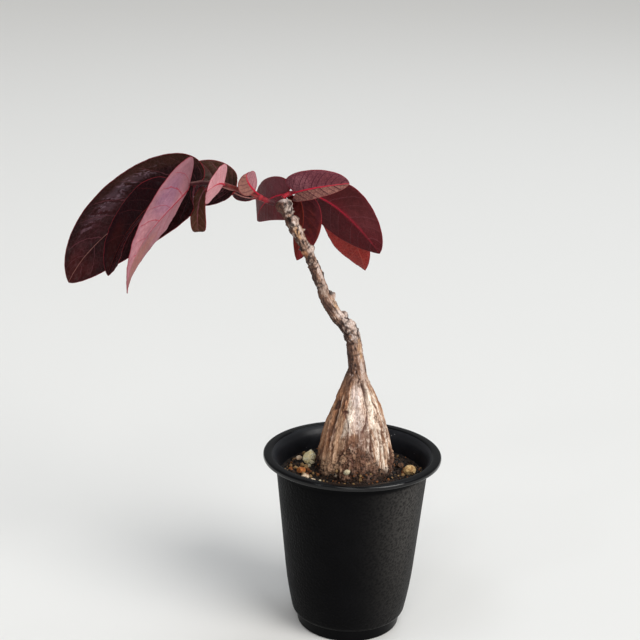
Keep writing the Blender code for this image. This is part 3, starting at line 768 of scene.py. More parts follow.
# Knobs and leaf scars: height, direction in degrees, how far out, how wide
KNOBS = (
    (155.5, -60, 0.7, 2.4), (159.3, 5, 1, 2.2), (163.6, 15, 1.5, 1.5), (161, -75, 0.8, 1.6),
    (163, 160, 0.4, 2.2), (175, 8, 2.2, 1.3), (171, -30, 0.5, 2.4), (193.8, -150, 0.7, 1.5),
    (196.5, -80, 0.5, 1.5), (198.8, 10, 0.4, 1.6), (204.2, 170, 0.6, 1.4), (209, -165, 0.5, 1.8),
    (213.5, 0, 0.5, 1.4), (211.5, -70, 0.6, 1.6), (219.5, -60, 0.5, 1.8), (220.5, 175, 0.4, 1.8),
)
# Cracks: half-width, depth, then heights and directions along each
CRACKS = (
    (0.75, 1.3, ((133, -66), (127.6, -56), (124.2, -60), (119.5, -62), (115.7, -66), (112.5, -72),
                 (110, -79))),
    (0.45, 0.9, ((110.2, -64), (105.9, -65), (99.6, -66), (96, -63))),
    (0.5, 0.7, ((116.1, -46), (113.9, -40))), (0.5, 0.7, ((122.7, -36), (118.7, -32))),
    (0.5, 0.5, ((133.6, -124), (127.9, -130), (124.2, -131), (119.5, -121), (115.2, -112), (109.3, -99))),
    (0.45, 0.8, ((94, -122), (96.4, -120), (98, -116), (99.2, -113), (98, -109), (96.8, -105))),
    (0.4, 0.6, ((97.2, -97), (92.8, -96))), (0.6, 0.7, ((103.9, -102), (101.6, -94))),
    (0.5, 0.8, ((108.4, -151), (103, -148), (98.8, -143))),
    (0.5, 0.8, ((125.4, -156), (113.9, -140), (104.7, -136), (96, -132))),
    (1.1, 0.6, ((121.9, -148), (119.5, -149))), (0.8, 0.4, ((118.7, -123), (119.1, -112))),
    (0.5, 0.5, ((140.7, -144), (136.2, -129))), (0.4, 0.5, ((138, -97), (134.4, -77), (132, -82))),
    (0.7, 0.9, ((214.8, -150), (214.1, -128), (213.6, -100))), (0.6, 0.6, ((218, -78), (216.6, -52))),
    (0.5, 0.6, ((221.6, -130), (220.2, -108))), (0.5, 0.6, ((163.4, -31), (162.6, -10), (161.7, 13))),
    (0.6, 0.7, ((162.6, -142), (159.9, -136), (157.2, -120), (153, -102), (148.7, -81))),
    (0.5, 0.5, ((165, -100), (161.8, -92), (159.4, -70))),
    (0.5, 0.6, ((157, -70), (155.4, -48), (156.2, -20))),
    (0.5, 0.4, ((200.2, -150), (199.8, -100), (200, -50), (200.3, 0))),
    (0.4, 0.4, ((207.6, -120), (206.8, -80), (207.2, -40))),
    (0.4, 0.4, ((190.4, -140), (189.8, -90), (190.2, -40))), (0.4, 0.4, ((183.4, -130), (182.6, -80))),
    (0.4, 0.4, ((174.6, -120), (171.6, -104), (167.4, -96))),
)
# Rings around the stem: height, how far out, half-height
RINGS = (
    (221.4, 0.25, 0.8), (217.2, -0.35, 0.5), (215, -0.7, 0.45), (212.8, 0.5, 1), (210.6, -0.3, 0.4),
    (207, 0.2, 0.6), (201.4, -0.35, 0.35), (199, 0.35, 1.2), (196.6, -0.35, 0.4), (192, -0.3, 0.35),
    (186, 0.2, 0.9), (181.2, -0.2, 0.4), (176.2, 0.3, 1), (164.4, 0.4, 0.9), (162.2, -0.45, 0.4),
    (160.2, 0.4, 0.9), (157.8, -0.4, 0.4), (155, 0.35, 1), (152.4, -0.35, 0.4), (146.4, -0.15, 0.4),
)
# Bud scales and spurs that stand out: height, direction, how far out, how wide
SPURS = (
    (222.2, -35, 0.9, 0.7), (221, -75, 0.7, 0.6), (222.8, -110, 0.7, 0.6), (219.6, -150, 0.8, 0.8),
    (218.4, -20, 0.8, 0.6), (216.4, 5, 0.9, 0.7), (216.6, -110, 0.7, 0.5), (213, -95, 0.7, 1.1),
    (213.2, -40, 0.5, 0.8), (215.8, 120, 0.8, 0.8), (207.3, 8, 1.1, 0.5), (200.6, -172, 1, 0.6),
    (202.4, -120, 0.5, 0.6), (198.4, -5, 0.7, 1.3), (191, 170, 0.5, 0.6), (186.4, 15, 0.4, 0.7),
    (176.8, 20, 0.9, 0.6), (173.6, -5, 0.8, 0.7), (165.2, 2, 0.8, 0.6), (163, -52, 0.7, 0.6),
    (161.6, -8, 0.8, 0.7), (159.4, -95, 0.6, 0.7), (158.2, -45, 0.8, 0.8), (157, 5, 0.6, 0.7),
    (155.4, -100, 0.5, 0.7), (155, 60, 0.6, 0.8), (170, 110, 0.8, 0.9), (205, 100, 0.8, 0.8),
)
# Round scars and bud holes: height, direction, radius, depth
SCARS = (
    (194.1, -93, 1.35, 0.6), (176.3, -8, 0.9, 1.5), (200.9, -160, 0.8, 0.6), (204.8, 40, 0.9, 0.4),
    (186.5, 60, 1.1, 0.5), (168, 130, 1.2, 0.5), (152, 100, 1.2, 0.5), (214.6, -104, 0.8, 1.2),
)
# Raised pale ribs on the caudex: half-width, how far out, heights and directions along each
RIBS = (
    (1.5, 0.7, ((137, -80), (132.9, -55), (127.6, -46), (121.5, -48), (115.7, -53), (111.6, -57))),
    (0.9, 0.4, ((123.9, -106), (119.1, -108), (115.7, -107), (112, -104), (109.3, -99))),
    (0.9, 0.4, ((127, -28), (122.3, -19), (115.2, -22), (107.2, -20))),
    (0.9, 0.5, ((114, -47), (110.7, -50), (103.9, -51), (98, -53), (93, -55))),
    (1, 0.6, ((112, -38), (104.3, -41), (97.2, -42), (89.5, -43), (84, -41))),
    (0.9, 0.5, ((125.4, -140), (116.6, -138), (108.4, -138), (100.8, -138))),
    (1.1, 0.6, ((117, -157), (108, -154), (98.8, -153), (91.6, -150))),
    (1.3, 0.3, ((108, -118), (104.5, -121))), (0.8, 0.5, ((110, -29), (102, -29), (94, -30))),
    (0.9, 0.5, ((120, -172), (108, -174), (96, -172))), (1, 0.5, ((126, 20), (112, 24), (98, 22))),
    (1.1, 0.6, ((124, 62), (108, 58), (92, 60))), (1, 0.5, ((118, 98), (104, 101), (90, 99))),
    (1.1, 0.6, ((126, 139), (112, 136), (96, 140))),
)
# Grooves between the fibres: half-width, depth, heights and directions along each
GROOVES = (
    (0.7, 0.9, ((124.6, -146), (117.8, -145), (107.6, -146), (99.2, -147), (92, -145))),
    (0.6, 0.8, ((126.5, -127), (117, -129), (109.3, -134), (102.4, -134), (95.6, -133))),
    (0.5, 0.6, ((109.8, -109), (103.5, -110), (99.6, -113))),
    (0.5, 0.7, ((116.1, -38), (109.8, -34), (101.6, -36), (94.4, -36))),
    (0.6, 0.8, ((111, -59), (109.3, -61), (103.5, -66), (99.6, -66))),
    (0.5, 0.6, ((112, -15), (107.2, -15), (100, -23), (95.2, -22))),
    (0.5, 0.6, ((124.6, -40), (121.5, -34), (118.3, -26))),
    (0.5, 0.6, ((106.7, -45), (100, -47), (94.4, -48))), (1.7, 1.1, ((121.6, -153), (119.8, -155))),
    (0.8, 0.5, ((118.9, -125), (118.6, -113))), (0.5, 0.6, ((124, -163), (112, -165), (98, -163))),
    (0.5, 0.5, ((135, -98), (128, -100), (121, -99))), (0.5, 0.5, ((137, -124), (130, -122), (125, -119))),
    (0.6, 0.8, ((128, 8), (114, 6), (98, 9))), (0.7, 0.9, ((126, 42), (110, 40), (92, 43))),
    (0.6, 0.8, ((120, 80), (106, 78), (90, 82))), (0.7, 0.9, ((124, 118), (108, 120), (94, 117))),
    (0.6, 0.8, ((122, 160), (106, 158), (92, 161))),
)
# Top of the dark scaly foot: direction, height
FOOT_HEIGHTS = (
    (-180, 93), (-150, 93), (-128, 94), (-118, 100), (-105, 104), (-88, 104), (-72, 101), (-60, 97),
    (-48, 88), (-36, 88), (-29, 95), (-15, 98), (20, 93), (70, 95), (120, 91), (180, 93),
)
# BARK_BRIGHT: a near-white used for painted highlights on the bark.
BARK_BRIGHT = tone(255, 242, 226)
BARK_CREAM = tone(240, 218, 198)
BARK_TAN = tone(208, 170, 138)
BARK_RUST = tone(182, 128, 90)
BARK_UMBER = tone(100, 66, 46)
BARK_GREY = tone(242, 226, 220)
BARK_CRACK = tone(38, 23, 19)
BARK_WINE = tone(112, 66, 54)
BARK_SCALE = tone(118, 80, 60)
# Patches of colour on the caudex: height, direction, half-height, half-width, colour, share; the near-white
# BARK_BRIGHT ones are painted highlights
CAUDEX_PATCHES = (
    (104, -84, 6, 5.5, BARK_SCALE, 0.45), (111.5, -113, 4, 1.5, BARK_BRIGHT, 0.6),
    (92, -138, 7, 8, BARK_TAN, 0.8), (97, -112, 3, 2.2, BARK_TAN, 0.6),
    (88.5, -104, 2.6, 3, BARK_SCALE, 0.6), (95, -78, 2.4, 2, BARK_SCALE, 0.6),
    (112, -128, 6, 2.2, BARK_TAN, 0.6), (104, -127, 5, 4, BARK_TAN, 0.7),
    (120.6, -154, 2.2, 1.8, BARK_CRACK, 0.8), (118.8, -120, 0.7, 1.8, BARK_UMBER, 0.8),
    (127, -90, 6, 2.6, BARK_GREY, 0.7), (116, -104, 5, 1.3, BARK_BRIGHT, 0.7),
    (93, -25, 5, 3, BARK_UMBER, 0.8), (101, -150, 6, 4, BARK_RUST, 0.4),
    (130, -140, 5, 1.5, BARK_UMBER, 0.6), (135, -100, 3, 0.7, BARK_UMBER, 0.7),
    (124, -48, 6, 1.4, BARK_BRIGHT, 0.7), (111, -50, 6, 2, BARK_BRIGHT, 0.5),
    (105, 60, 8, 5, BARK_RUST, 0.5), (112, 130, 9, 5, BARK_GREY, 0.5),
)
STEM_TAN = tone(140, 103, 81)
STEM_PALE = tone(210, 193, 184)
STEM_GOLD = tone(192, 152, 112)
STEM_GREY = tone(158, 140, 128)
STEM_BROWN = tone(84, 56, 43)
STEM_DARK = tone(34, 22, 19)
# Patches of colour on the stem, in the same order; pale ones on the right are partly painted highlight, dark
# ones on the left partly painted shade
STEM_PATCHES = (
    (220.6, -50, 3.2, 2.6, STEM_PALE, 0.9), (219.5, -140, 3.2, 2.6, STEM_BROWN, 0.85),
    (221, -122, 2.6, 1.5, STEM_DARK, 0.6), (222.8, -90, 1.1, 1.8, BARK_WINE, 0.8),
    (219.6, -22, 3.6, 1.8, STEM_PALE, 0.9), (217.4, -62, 0.7, 2.6, STEM_DARK, 0.95),
    (214.6, -105, 0.9, 1.7, STEM_DARK, 1), (212.4, -95, 1.3, 1.9, STEM_PALE, 0.9),
    (208, -85, 3.4, 1.1, STEM_GOLD, 0.8), (206, -140, 4.6, 1.5, STEM_BROWN, 0.9),
    (209, -30, 3, 1.2, STEM_PALE, 0.7), (200.5, -165, 1.8, 1.4, STEM_DARK, 0.9),
    (198.3, -120, 2.2, 1.2, BARK_RUST, 0.8), (198.5, -25, 3, 1.7, STEM_PALE, 0.9),
    (195.6, -97, 0.5, 1.7, STEM_DARK, 0.9), (193.6, -95, 1.1, 1.3, STEM_GREY, 0.85),
    (190, -110, 4.6, 1.5, STEM_BROWN, 0.75), (185, -145, 6, 1.3, STEM_DARK, 0.6),
    (187, -45, 5, 1.2, STEM_PALE, 0.6), (180, -80, 4, 2, STEM_GREY, 0.7),
    (176.6, 8, 1.4, 1.3, STEM_DARK, 1), (176.4, -14, 1.2, 1.5, STEM_DARK, 1),
    (171.6, -108, 4.8, 2.2, STEM_BROWN, 0.85), (170, -34, 4.2, 1.1, STEM_GOLD, 0.9),
    (166.3, -45, 2.2, 1.7, STEM_PALE, 0.85), (163.2, -22, 1.2, 1.6, STEM_PALE, 0.9),
    (160, -35, 1.3, 1.7, STEM_PALE, 0.9), (157.2, -28, 1.3, 1.6, STEM_PALE, 1),
    (162, -135, 2.6, 2, STEM_BROWN, 0.85), (157, -152, 3.2, 2, STEM_DARK, 0.75),
    (158.4, -95, 1.2, 1.6, STEM_GREY, 0.8), (149, -42, 7, 1.3, STEM_GOLD, 0.7),
    (148, -130, 8, 1.8, STEM_BROWN, 0.5), (141.5, -128, 4, 1, STEM_BROWN, 0.75),
    (140, -92, 3.2, 0.8, STEM_BROWN, 0.6), (139, -55, 4, 1, STEM_PALE, 0.7),
    (205, 90, 6, 2, STEM_PALE, 0.5), (188, 110, 5, 2, STEM_BROWN, 0.5), (171, 80, 4, 2, STEM_GREY, 0.6),
    (160, 100, 4, 2.5, STEM_PALE, 0.6),
)
TRUNK_FOOT = (1.7, 0.0, 57.9)
SHOWN_FROM = 80.0       # height where the trunk starts to show, and the ridges with it
CAUDEX_TOP = 126.0      # the caudex ends between these two heights
STEM_FROM = 138.0
CROWN_FROM = 212.0      # the gnarled top of the stem starts here
KNEE_HEIGHT = 159.5     # the gnarled bend of the stem
KNEE_HALF = 7.0
PLATE_WAY = 0.05 - math.pi / 2      # the smooth pale plate on the caudex's front
PLATE_HALF_WIDTH = 0.33
PLATE_HEIGHT = 113.0
PLATE_HALF = 13.0
PLATE_RISE = 0.55
SCALY_HEIGHT = 106.5    # a band of scaly bark across the front
SCALY_HALF = 5.5
COLUMNS_LOW = 352       # points around the caudex, the neck above it and the stem
COLUMNS_NECK = 176
COLUMNS_STEM = 88
# Rows of points: up to which height, how far apart
ROW_STEPS = ((SHOWN_FROM, 2.0), (CAUDEX_TOP, 0.29), (STEM_FROM, 0.33), (math.inf, 0.37))


def row_places(dense, length):
    """Places along the path for the rows of points, closer together where the bark is in view."""
    rows = []
    at = 0.0
    while at < length[-1]:
        rows.append(at)
        height = np.interp(at, length, dense[:, 2])
        at += next(apart for top, apart in ROW_STEPS if height < top)
    return np.array(rows + [length[-1]])


def ridge(angle, z):
    """The solid's own lengthwise ridges, between about -1 and 1."""
    wave = 0.45 * np.sin(9 * angle + 1.6 * np.sin(z / 9.0))
    wave += 0.35 * np.sin(14 * angle + 2.1 + 1.3 * np.sin(z / 13.0 + 1.0))
    return wave + 0.25 * np.sin(21 * angle - 0.6 + z / 15.0)


dense = smooth_path(TRUNK, 60)
lengths = np.concatenate([[0], np.cumsum(np.linalg.norm(np.diff(dense[:, :3], axis=0), axis=1))])
rows_at = row_places(dense, lengths)
track = np.column_stack([np.interp(rows_at, lengths, dense[:, k]) for k in range(4)])
dense_ways = directions(dense[:, :3])
ways = unit(np.column_stack([np.interp(rows_at, lengths, dense_ways[:, k]) for k in range(3)]))
rights = unit(np.array((1.0, 0.0, 0.0)) - ways[:, :1] * ways)
backs = np.cross(ways, rights)
counts = np.where(track[:, 2] < CAUDEX_TOP, COLUMNS_LOW,
                  np.where(track[:, 2] < STEM_FROM, COLUMNS_NECK, COLUMNS_STEM))
row_of = np.repeat(np.arange(len(track)), counts)
angle = np.concatenate([np.arange(n) * FULL_TURN / n for n in counts])
angle = np.where(angle > math.pi, angle - FULL_TURN, angle)
z = track[row_of, 2]
radius = track[row_of, 3]
along_at = rows_at[row_of]


def around(way, fine, height):
    """Places on a drum, where noise runs around the trunk without a seam."""
    return np.column_stack([np.cos(way) * fine, np.sin(way) * fine, height])


def round_from(degrees):
    """How far round the bark each point is from a direction."""
    return ((angle - math.radians(degrees) + math.pi) % FULL_TURN - math.pi) * radius


def path_distance(places):
    """Distance over the bark from a path of heights and directions."""
    best = np.full(len(z), 99.0)
    for (z_a, way_a), (z_b, way_b) in zip(places, places[1:]):
        x = round_from(way_a)
        end_x = math.radians(way_b - way_a) * radius
        y = z - z_a
        end_y = z_b - z_a
        share = np.clip((x * end_x + y * end_y) / (end_x ** 2 + end_y ** 2), 0, 1)
        best = np.minimum(best, np.hypot(x - share * end_x, y - share * end_y))
    return best


def drawn(table, ragged, soft, sharp, strength):
    """Height in all and greatest share of the lines of a table."""
    total = np.zeros(len(z))
    most = np.zeros(len(z))
    for wide, far, places in table:
        line = step(path_distance(places) + ragged, wide * soft, wide * sharp) * strength
        total += far * line
        most = np.maximum(most, line)
    return total, most


# The solid's shape, with knobs, rings and spurs
shown = np.clip((z - SHOWN_FROM) / 4.0, 0, 1)
depth = 0.3 + 0.4 * np.clip((z - 84.0) / 10.0, 0, 1)
depth = np.where(z > 128.0, np.maximum(0.16, 0.7 - 0.07 * (z - 128.0)), depth)
reach = radius + shown * depth * ridge(angle, z)
plate = np.exp(-((angle - PLATE_WAY) / PLATE_HALF_WIDTH) ** 2 - ((z - PLATE_HEIGHT) / PLATE_HALF) ** 2)
reach += PLATE_RISE * plate
knob_share = np.zeros(len(z))
for height, way, far, wide in KNOBS:
    bulge = np.exp(-((z - height) / wide) ** 2 - (round_from(way) / wide) ** 2)
    reach += far * bulge
    knob_share = np.maximum(knob_share, bulge * min(1.0, far))
ring_dark = np.zeros(len(z))
for height, far, wide in RINGS:
    level = np.full(len(z), height)
    drift = 0.5 * noise(around(angle, 1.0, level), 46)
    band = np.exp(-((z - height + drift) / wide) ** 2)
    band = band * (0.3 + 0.7 * step(noise(around(angle, 1.6, level), 47), -0.5, 0.2))
    reach += far * band
    ring_dark = np.maximum(ring_dark, band * (far < 0))
spur_edge = np.zeros(len(z))
for height, way, far, wide in SPURS:
    away = np.hypot(z - height, round_from(way)) / wide
    reach += far * np.exp(-away ** 3)
    spur_edge = np.maximum(spur_edge, np.exp(-((away - 1.25) / 0.3) ** 2))
    knob_share = np.maximum(knob_share, np.exp(-away ** 2))

# Fibres that fan out down the caudex, scaly bark at its foot, and a speckled stem
caudex = step(z, STEM_FROM, CAUDEX_TOP)
stem = 1 - caudex
skin_at = around(angle, radius, along_at)
foot_top = np.interp(np.degrees(angle), *zip(*FOOT_HEIGHTS))
foot_share = step(z + 2.2 * noise(skin_at / 3.0, 51) - foot_top, 3.0, -3.0)
bent = angle + 0.05 * noise(around(angle, 3, z / 12.0), 30)


def fibres(fine, long, seed):
    return noise(around(bent, fine, z / long), seed)


broad = fibres(5.0, 34.0, 31)
middling = fibres(11.0, 24.0, 32)
narrow = fibres(24.0, 13.0, 33)
hairs = fibres(52.0, 7.0, 34)
flank = 1 - 0.75 * plate
broken_up = step(rough(around(angle, 8, z / 6.0), 2, 29), -0.35, 0.25)
groove_wide = step(np.abs(middling), 0.2, 0.0) * (0.35 + 0.65 * broken_up)
groove_fine = step(np.abs(narrow), 0.22, 0.0) * step(fibres(6.0, 9.0, 35), -0.5, 0.5)
relief = caudex * (0.4 * broad - 0.5 * groove_wide * flank - 0.35 * groove_fine * broken_up * flank
                   + 0.12 * hairs + 0.3 * narrow * flank + 0.15 * rough(skin_at / (1.1, 1.1, 2.6), 2, 28))
warp = np.column_stack([noise(skin_at / 2.2, seed) for seed in (36, 58, 59)])
near, after, pick = cells(skin_at / (2.6, 2.6, 3.0) + 0.8 * warp, 37)
scale_gap = step(after - near, 0.2, 0.02) * step(noise(skin_at / 3.0, 49), -0.5, 0.0)
relief += foot_share * caudex * (0.9 * (pick - 0.5) - 0.6 * scale_gap + 0.35 * rough(skin_at / 1.6, 2, 50))
near, after, flake_pick = cells(skin_at / (1.5, 1.5, 2.1) + 0.3 * noise(skin_at / 1.2, 38)[:, None], 39)
flake_gap = step(after - near, 0.14, 0.0)
stem_grain = rough(skin_at / (1.1, 1.1, 2.4), 3, 40)
wrinkles = noise(around(angle, 4.5, along_at / 5.0), 48)
gnarled = np.maximum(np.exp(-((z - KNEE_HEIGHT) / KNEE_HALF) ** 4), step(z, CROWN_FROM, CROWN_FROM + 3))
mossy = noise(skin_at / (3.2, 3.2, 6.5), 70) + 0.4 * knob_share + 0.5 * gnarled
relief += stem * (0.26 * stem_grain + 0.35 * (flake_pick - 0.5) * (0.4 + knob_share) - 0.2 * flake_gap
                  + 0.16 * wrinkles)

ragged = 0.35 * noise(skin_at / (1.6, 1.6, 4.0), 52)
rise, rib_share = drawn(RIBS, ragged, 1.2, 0.3, 1 - 0.6 * foot_share)
relief += rise
ragged = 0.4 * noise(skin_at / (1.4, 1.4, 3.4), 53)
strength = 0.4 + 0.6 * step(noise(skin_at / (2.5, 2.5, 4.0), 54), -0.4, 0.0)
sink, groove_share = drawn(GROOVES, ragged, 1.5, 0.2, strength)
relief -= sink * (1 - 0.5 * foot_share)
ragged = 0.3 * noise(skin_at / 1.3, 41)
strength = 0.55 + 0.45 * step(noise(skin_at / 2.2, 45), -0.35, 0.1)
sink, crack_share = drawn(CRACKS, ragged, 1.4, 0.2, strength)
relief -= sink
scar_rim = np.zeros(len(z))
ragged = 0.12 * noise(skin_at / 0.8, 42)
for height, way, wide, deep in SCARS:
    away = np.hypot(z - height, round_from(way)) + ragged
    ring = np.exp(-((away - wide) / (0.3 * wide)) ** 2)
    is_hole = deep >= 1
    relief -= deep * ring
    if is_hole:
        relief -= deep * step(away, wide * 0.9, wide * 0.4)
    else:
        relief += 0.6 * deep * step(away, wide * 0.8, 0)
    scar_rim = np.maximum(scar_rim, np.maximum(0.9 * ring, step(away, wide, wide * 0.6) * is_hole))
reach = reach + relief * shown

# Colour of each point of the bark, coat by coat, with light and shade painted in by the side the light comes
# from
# lit is 1 on the side the light comes from and 0 on the far side; the coats that follow it paint light and
# shade.
LIGHT_SIDE = math.radians(38)
lit = 0.5 + 0.5 * np.cos(angle + LIGHT_SIDE)
patches = rough(around(angle, 2.4, z / 17.0), 3, 43)
bark_paint = np.tile(BARK_TAN, (len(z), 1))


def coat(paint, share):
    bark_paint[:] = mix(bark_paint, paint, share)


def coat_patches(table, part, ragged, core):
    for height, way, high, wide, paint, share in table:
        away = np.hypot((z - height) / high, round_from(way) / wide) + ragged
        coat(paint, part * share * step(away, 1.25, core))


fibre_shade = 0.75 * narrow + 0.35 * hairs + 0.35 * middling + 0.25 * patches
calm = caudex * (1 - 0.55 * plate)
streaks = fibres(36.0, 5.0, 57)
hairlines = fibres(38.0, 8.0, 71)
# Painted light and shade: cream on the lit side, rust on the shaded side.
coat(BARK_CREAM, step(lit + 0.35 * patches, 0.62, 1.0))
coat(BARK_RUST, 0.8 * step(lit + 0.35 * patches, 0.75, 0.3))
# Rust and umber in the low fibres, partly the bark's own colour and partly painted shade; near-white on the
# high fibres of the lit side, a painted highlight.
coat(BARK_RUST, 0.9 * calm * step(fibre_shade + 0.3 * streaks, 0.1, -0.35))
coat(BARK_UMBER, 0.8 * calm * step(fibre_shade + 0.4 * streaks, -0.25, -0.65))
coat(BARK_BRIGHT, 0.65 * caudex * step(lit, 0.2, 0.8) * step(fibre_shade, 0.2, 0.6))
coat(BARK_UMBER, 0.48 * caudex * step(z, 102.0, 112.0) * step(hairlines, 0.1, 0.45))
coat(BARK_GREY, 0.7 * caudex * plate * step(patches + 0.4 * narrow, -0.6, 0.1))
# Ribs with a painted highlight on the lit side and tan on the shaded side.
coat(BARK_BRIGHT, 0.85 * caudex * rib_share * step(lit, 0.1, 0.75))
coat(BARK_TAN, 0.6 * caudex * rib_share * step(lit, 0.6, 0.1))
dots = step(cells(skin_at / (1.5, 1.5, 2.2), 55)[0] + 0.25 * stem_grain, 0.32, 0.12)
coat(BARK_UMBER, 0.85 * caudex * dots * (1 - 0.4 * plate) * step(patches + 0.5 * wrinkles, -0.3, 0.1))
coat(STEM_GREY, 0.7 * caudex * plate * step(middling + 0.6 * stem_grain, -0.1, 0.4))
coat(BARK_UMBER, 0.5 * calm * step(streaks + 0.5 * stem_grain, 0.15, 0.65))
# Umber in the grooves, a little more on the shaded side: partly painted shade.
coat(BARK_UMBER, 0.9 * caudex * groove_share * (1 - 0.3 * lit))
coat(BARK_CRACK, 0.5 * caudex * groove_share * step(groove_share, 0.5, 1.0))

foot = foot_share * caudex
coat(BARK_SCALE, 0.9 * foot)
coat(BARK_UMBER, 0.9 * foot * step(pick + 0.3 * patches, 0.75, 0.4))
coat(BARK_TAN, 0.6 * foot * step(pick, 0.85, 0.95))
coat(BARK_CRACK, 0.5 * foot * step(z + 2.0 * patches, 93.0, 86.0))
scaly = caudex * np.exp(-((z - SCALY_HEIGHT - 2.0 * patches) / SCALY_HALF) ** 4) * step(lit, 0.1, 0.4)
coat(BARK_SCALE, 0.7 * scaly * step(pick + 0.5 * streaks, 0.6, 0.25))
coat(BARK_CREAM, 0.6 * scaly * step(pick + 0.4 * streaks, 0.75, 0.95))
coat(BARK_UMBER, 0.6 * scaly * scale_gap)
coat_patches(CAUDEX_PATCHES, caudex, 0.35 * noise(skin_at / (1.6, 1.6, 2.6), 66) + 0.25 * narrow, 0.6)

coat(STEM_TAN, 0.9 * stem)
# Painted shade: brown on the stem's shaded side; painted light: pale on its lit side.
coat(STEM_BROWN, 0.9 * stem * step(lit + 0.25 * wrinkles + 0.2 * patches, 0.92, 0.42))
coat(STEM_PALE, 0.5 * stem * step(lit + 0.3 * wrinkles, 0.85, 1.1))
coat_patches(STEM_PATCHES, stem, 0.35 * noise(skin_at / (1.0, 1.0, 1.6), 56), 0.65)
# Pale knobs, paler towards the lit side: partly the knobs' own colour, partly painted highlight.
coat(STEM_PALE, 0.6 * stem * step(knob_share + 0.3 * stem_grain + 0.6 * lit, 0.9, 1.25))
coat(STEM_BROWN, 0.75 * stem * step(stem_grain + 0.4 * (flake_pick - 0.5) + 0.5 * mossy, 0.12, 0.6))
coat(STEM_DARK, 0.85 * stem * step(stem_grain + 0.3 * wrinkles + 0.7 * mossy, 0.5, 0.85))
coat(STEM_PALE, 0.5 * stem * step(stem_grain + 0.3 * wrinkles, -0.35, -0.8))
# Pale flakes on the gnarled parts towards the lit side: painted highlight.
coat(STEM_PALE, 0.8 * stem * gnarled * step(flake_pick + 0.9 * lit, 1.25, 1.5))
shaded_crown = stem * step(z, CROWN_FROM, CROWN_FROM + 4) * step(lit, 0.84, 0.6)
coat(STEM_BROWN, 0.8 * shaded_crown)
coat(BARK_WINE, 0.75 * shaded_crown * step(stem_grain + flake_pick, 0.3, 0.8))

coat(BARK_UMBER, 0.5 * caudex * flank * np.maximum(groove_wide * 0.9, groove_fine * 0.5))
coat(BARK_CRACK, 0.75 * foot * scale_gap)
coat(BARK_CRACK, 0.6 * stem * flake_gap * step(stem_grain + 0.8 * mossy, 0.0, 0.6))
coat(BARK_CRACK, stem * np.maximum(0.85 * ring_dark, 0.5 * spur_edge * step(wrinkles, 0.0, 0.6)))
crack_paint = mix(np.tile(BARK_WINE, (len(z), 1)), BARK_CRACK, 0.35 + 0.5 * stem)
coat(crack_paint, (0.85 + 0.1 * stem) * crack_share)
coat(BARK_CRACK, 0.85 * scar_rim)
coat(SOIL_UMBER, 0.8 * step(z + 1.5 * patches, 87.5, 84.0))

trunk_points = track[row_of, :3] + reach[:, None] * (np.cos(angle)[:, None] * rights[row_of]
                                                     + np.sin(angle)[:, None] * backs[row_of])
starts = 1 + np.concatenate([[0], np.cumsum(counts)])
trunk_faces = cap(0, 1, counts[0])
for row in range(len(track) - 1):
    low, high, count, fewer = int(starts[row]), int(starts[row + 1]), int(counts[row]), int(counts[row + 1])
    if fewer == count:
        trunk_faces += strip(low, high, count)
        continue
    for k in range(fewer):
        first, second, third = low + 2 * k, low + 2 * k + 1, low + (2 * k + 2) % count
        trunk_faces.append((first, second, high + k))
        trunk_faces.append((second, third, high + (k + 1) % fewer, high + k))
trunk_faces += cap(int(starts[-1]), int(starts[-2]), int(counts[-1]))
trunk_points = np.vstack([[TRUNK_FOOT], trunk_points, [TRUNK_TOP]])
trunk_paint = np.vstack([BARK_UMBER, bark_paint, BARK_GREY])


def fibrous_bark():
    """Bark that carries the colours painted on its points, painted light and shade among them, with fine
    strands along it.
    """
    skin = Skin("bark", 0.85)
    spot = skin.spot()
    paint = skin.mark("paint", "Color")
    stretched = skin.add("ShaderNodeMapping", {"Vector": spot, "Scale": (1.0, 1.0, 0.3)}).outputs[0]
    strands = skin.noise(stretched, 1500.0, 4.0, 0.6, 0.4)
    freckle = skin.noise(spot, 1900.0, 3.0, 0.6)
    skin.colour = skin.blend(skin.ramp(strands, 0.38, 0.58), skin.tinted(paint, (0.63, 0.54, 0.48)), paint)
    skin.coat(skin.times(skin.ramp(freckle, 0.62, 0.74), 0.5), BARK_UMBER)
    height = skin.plus(skin.times(strands, 1.2), freckle)
    return skin.finish(skin.ramp(freckle, 0.3, 0.7, 0.72, 0.95), skin.bump(height, 0.0004))


piece("caudex_bark", trunk_points, trunk_faces, fibrous_bark(), ("caudex_and_stem",),
      {"paint": trunk_paint})


# Branchlets: points up the middle of each
LEFT_TWIG = (
    (-40, -3.5, 221.8), (-44.6, -4.5, 223.3), (-50.3, -6.6, 226.6), (-57, -11, 229.7),
    (-63.8, -16.2, 233), (-72.6, -20.6, 234.6), (-78.6, -24.6, 234.8), (-82.6, -27, 235),
)
RIGHT_TWIG = (
    (-36.8, 1.7, 223.2), (-35, 2.9, 224.5), (-32.2, 5, 225.2), (-29, 10.5, 225),
    (-27.4, 15.5, 223), (-26.8, 20.2, 221.4),
)
TWIG_RADIUS_LEFT = (1.35, 0.8)
TWIG_RADIUS_RIGHT = (1.15, 0.8)
TWIG_ENDS = (0.55, 0.85)        # the two last rings at each end, as shares of the radius
SWELL = 0.22
SIDE_SLACK = 0.3
TIP_SLACK = 0.45
TWIG_SIDES = 28
TWIG_MAROON = tone(64, 20, 26)
TWIG_BRIGHT = tone(156, 24, 40)
TWIG_BROWN = tone(122, 48, 44)
# TWIG_PALE: pale lenticels, and the painted highlight on the branchlets' tops.
TWIG_PALE = tone(176, 122, 110)
LEFT_TWIG_TONES = (
    (0, TWIG_MAROON), (0.09, TWIG_MAROON), (0.19, TWIG_BRIGHT), (0.3, TWIG_BROWN), (0.5, TWIG_BROWN),
    (0.7, TWIG_MAROON), (1, TWIG_MAROON),
)
RIGHT_TWIG_TONES = ((0, TWIG_BRIGHT), (0.5, TWIG_BRIGHT), (1, TWIG_BROWN))

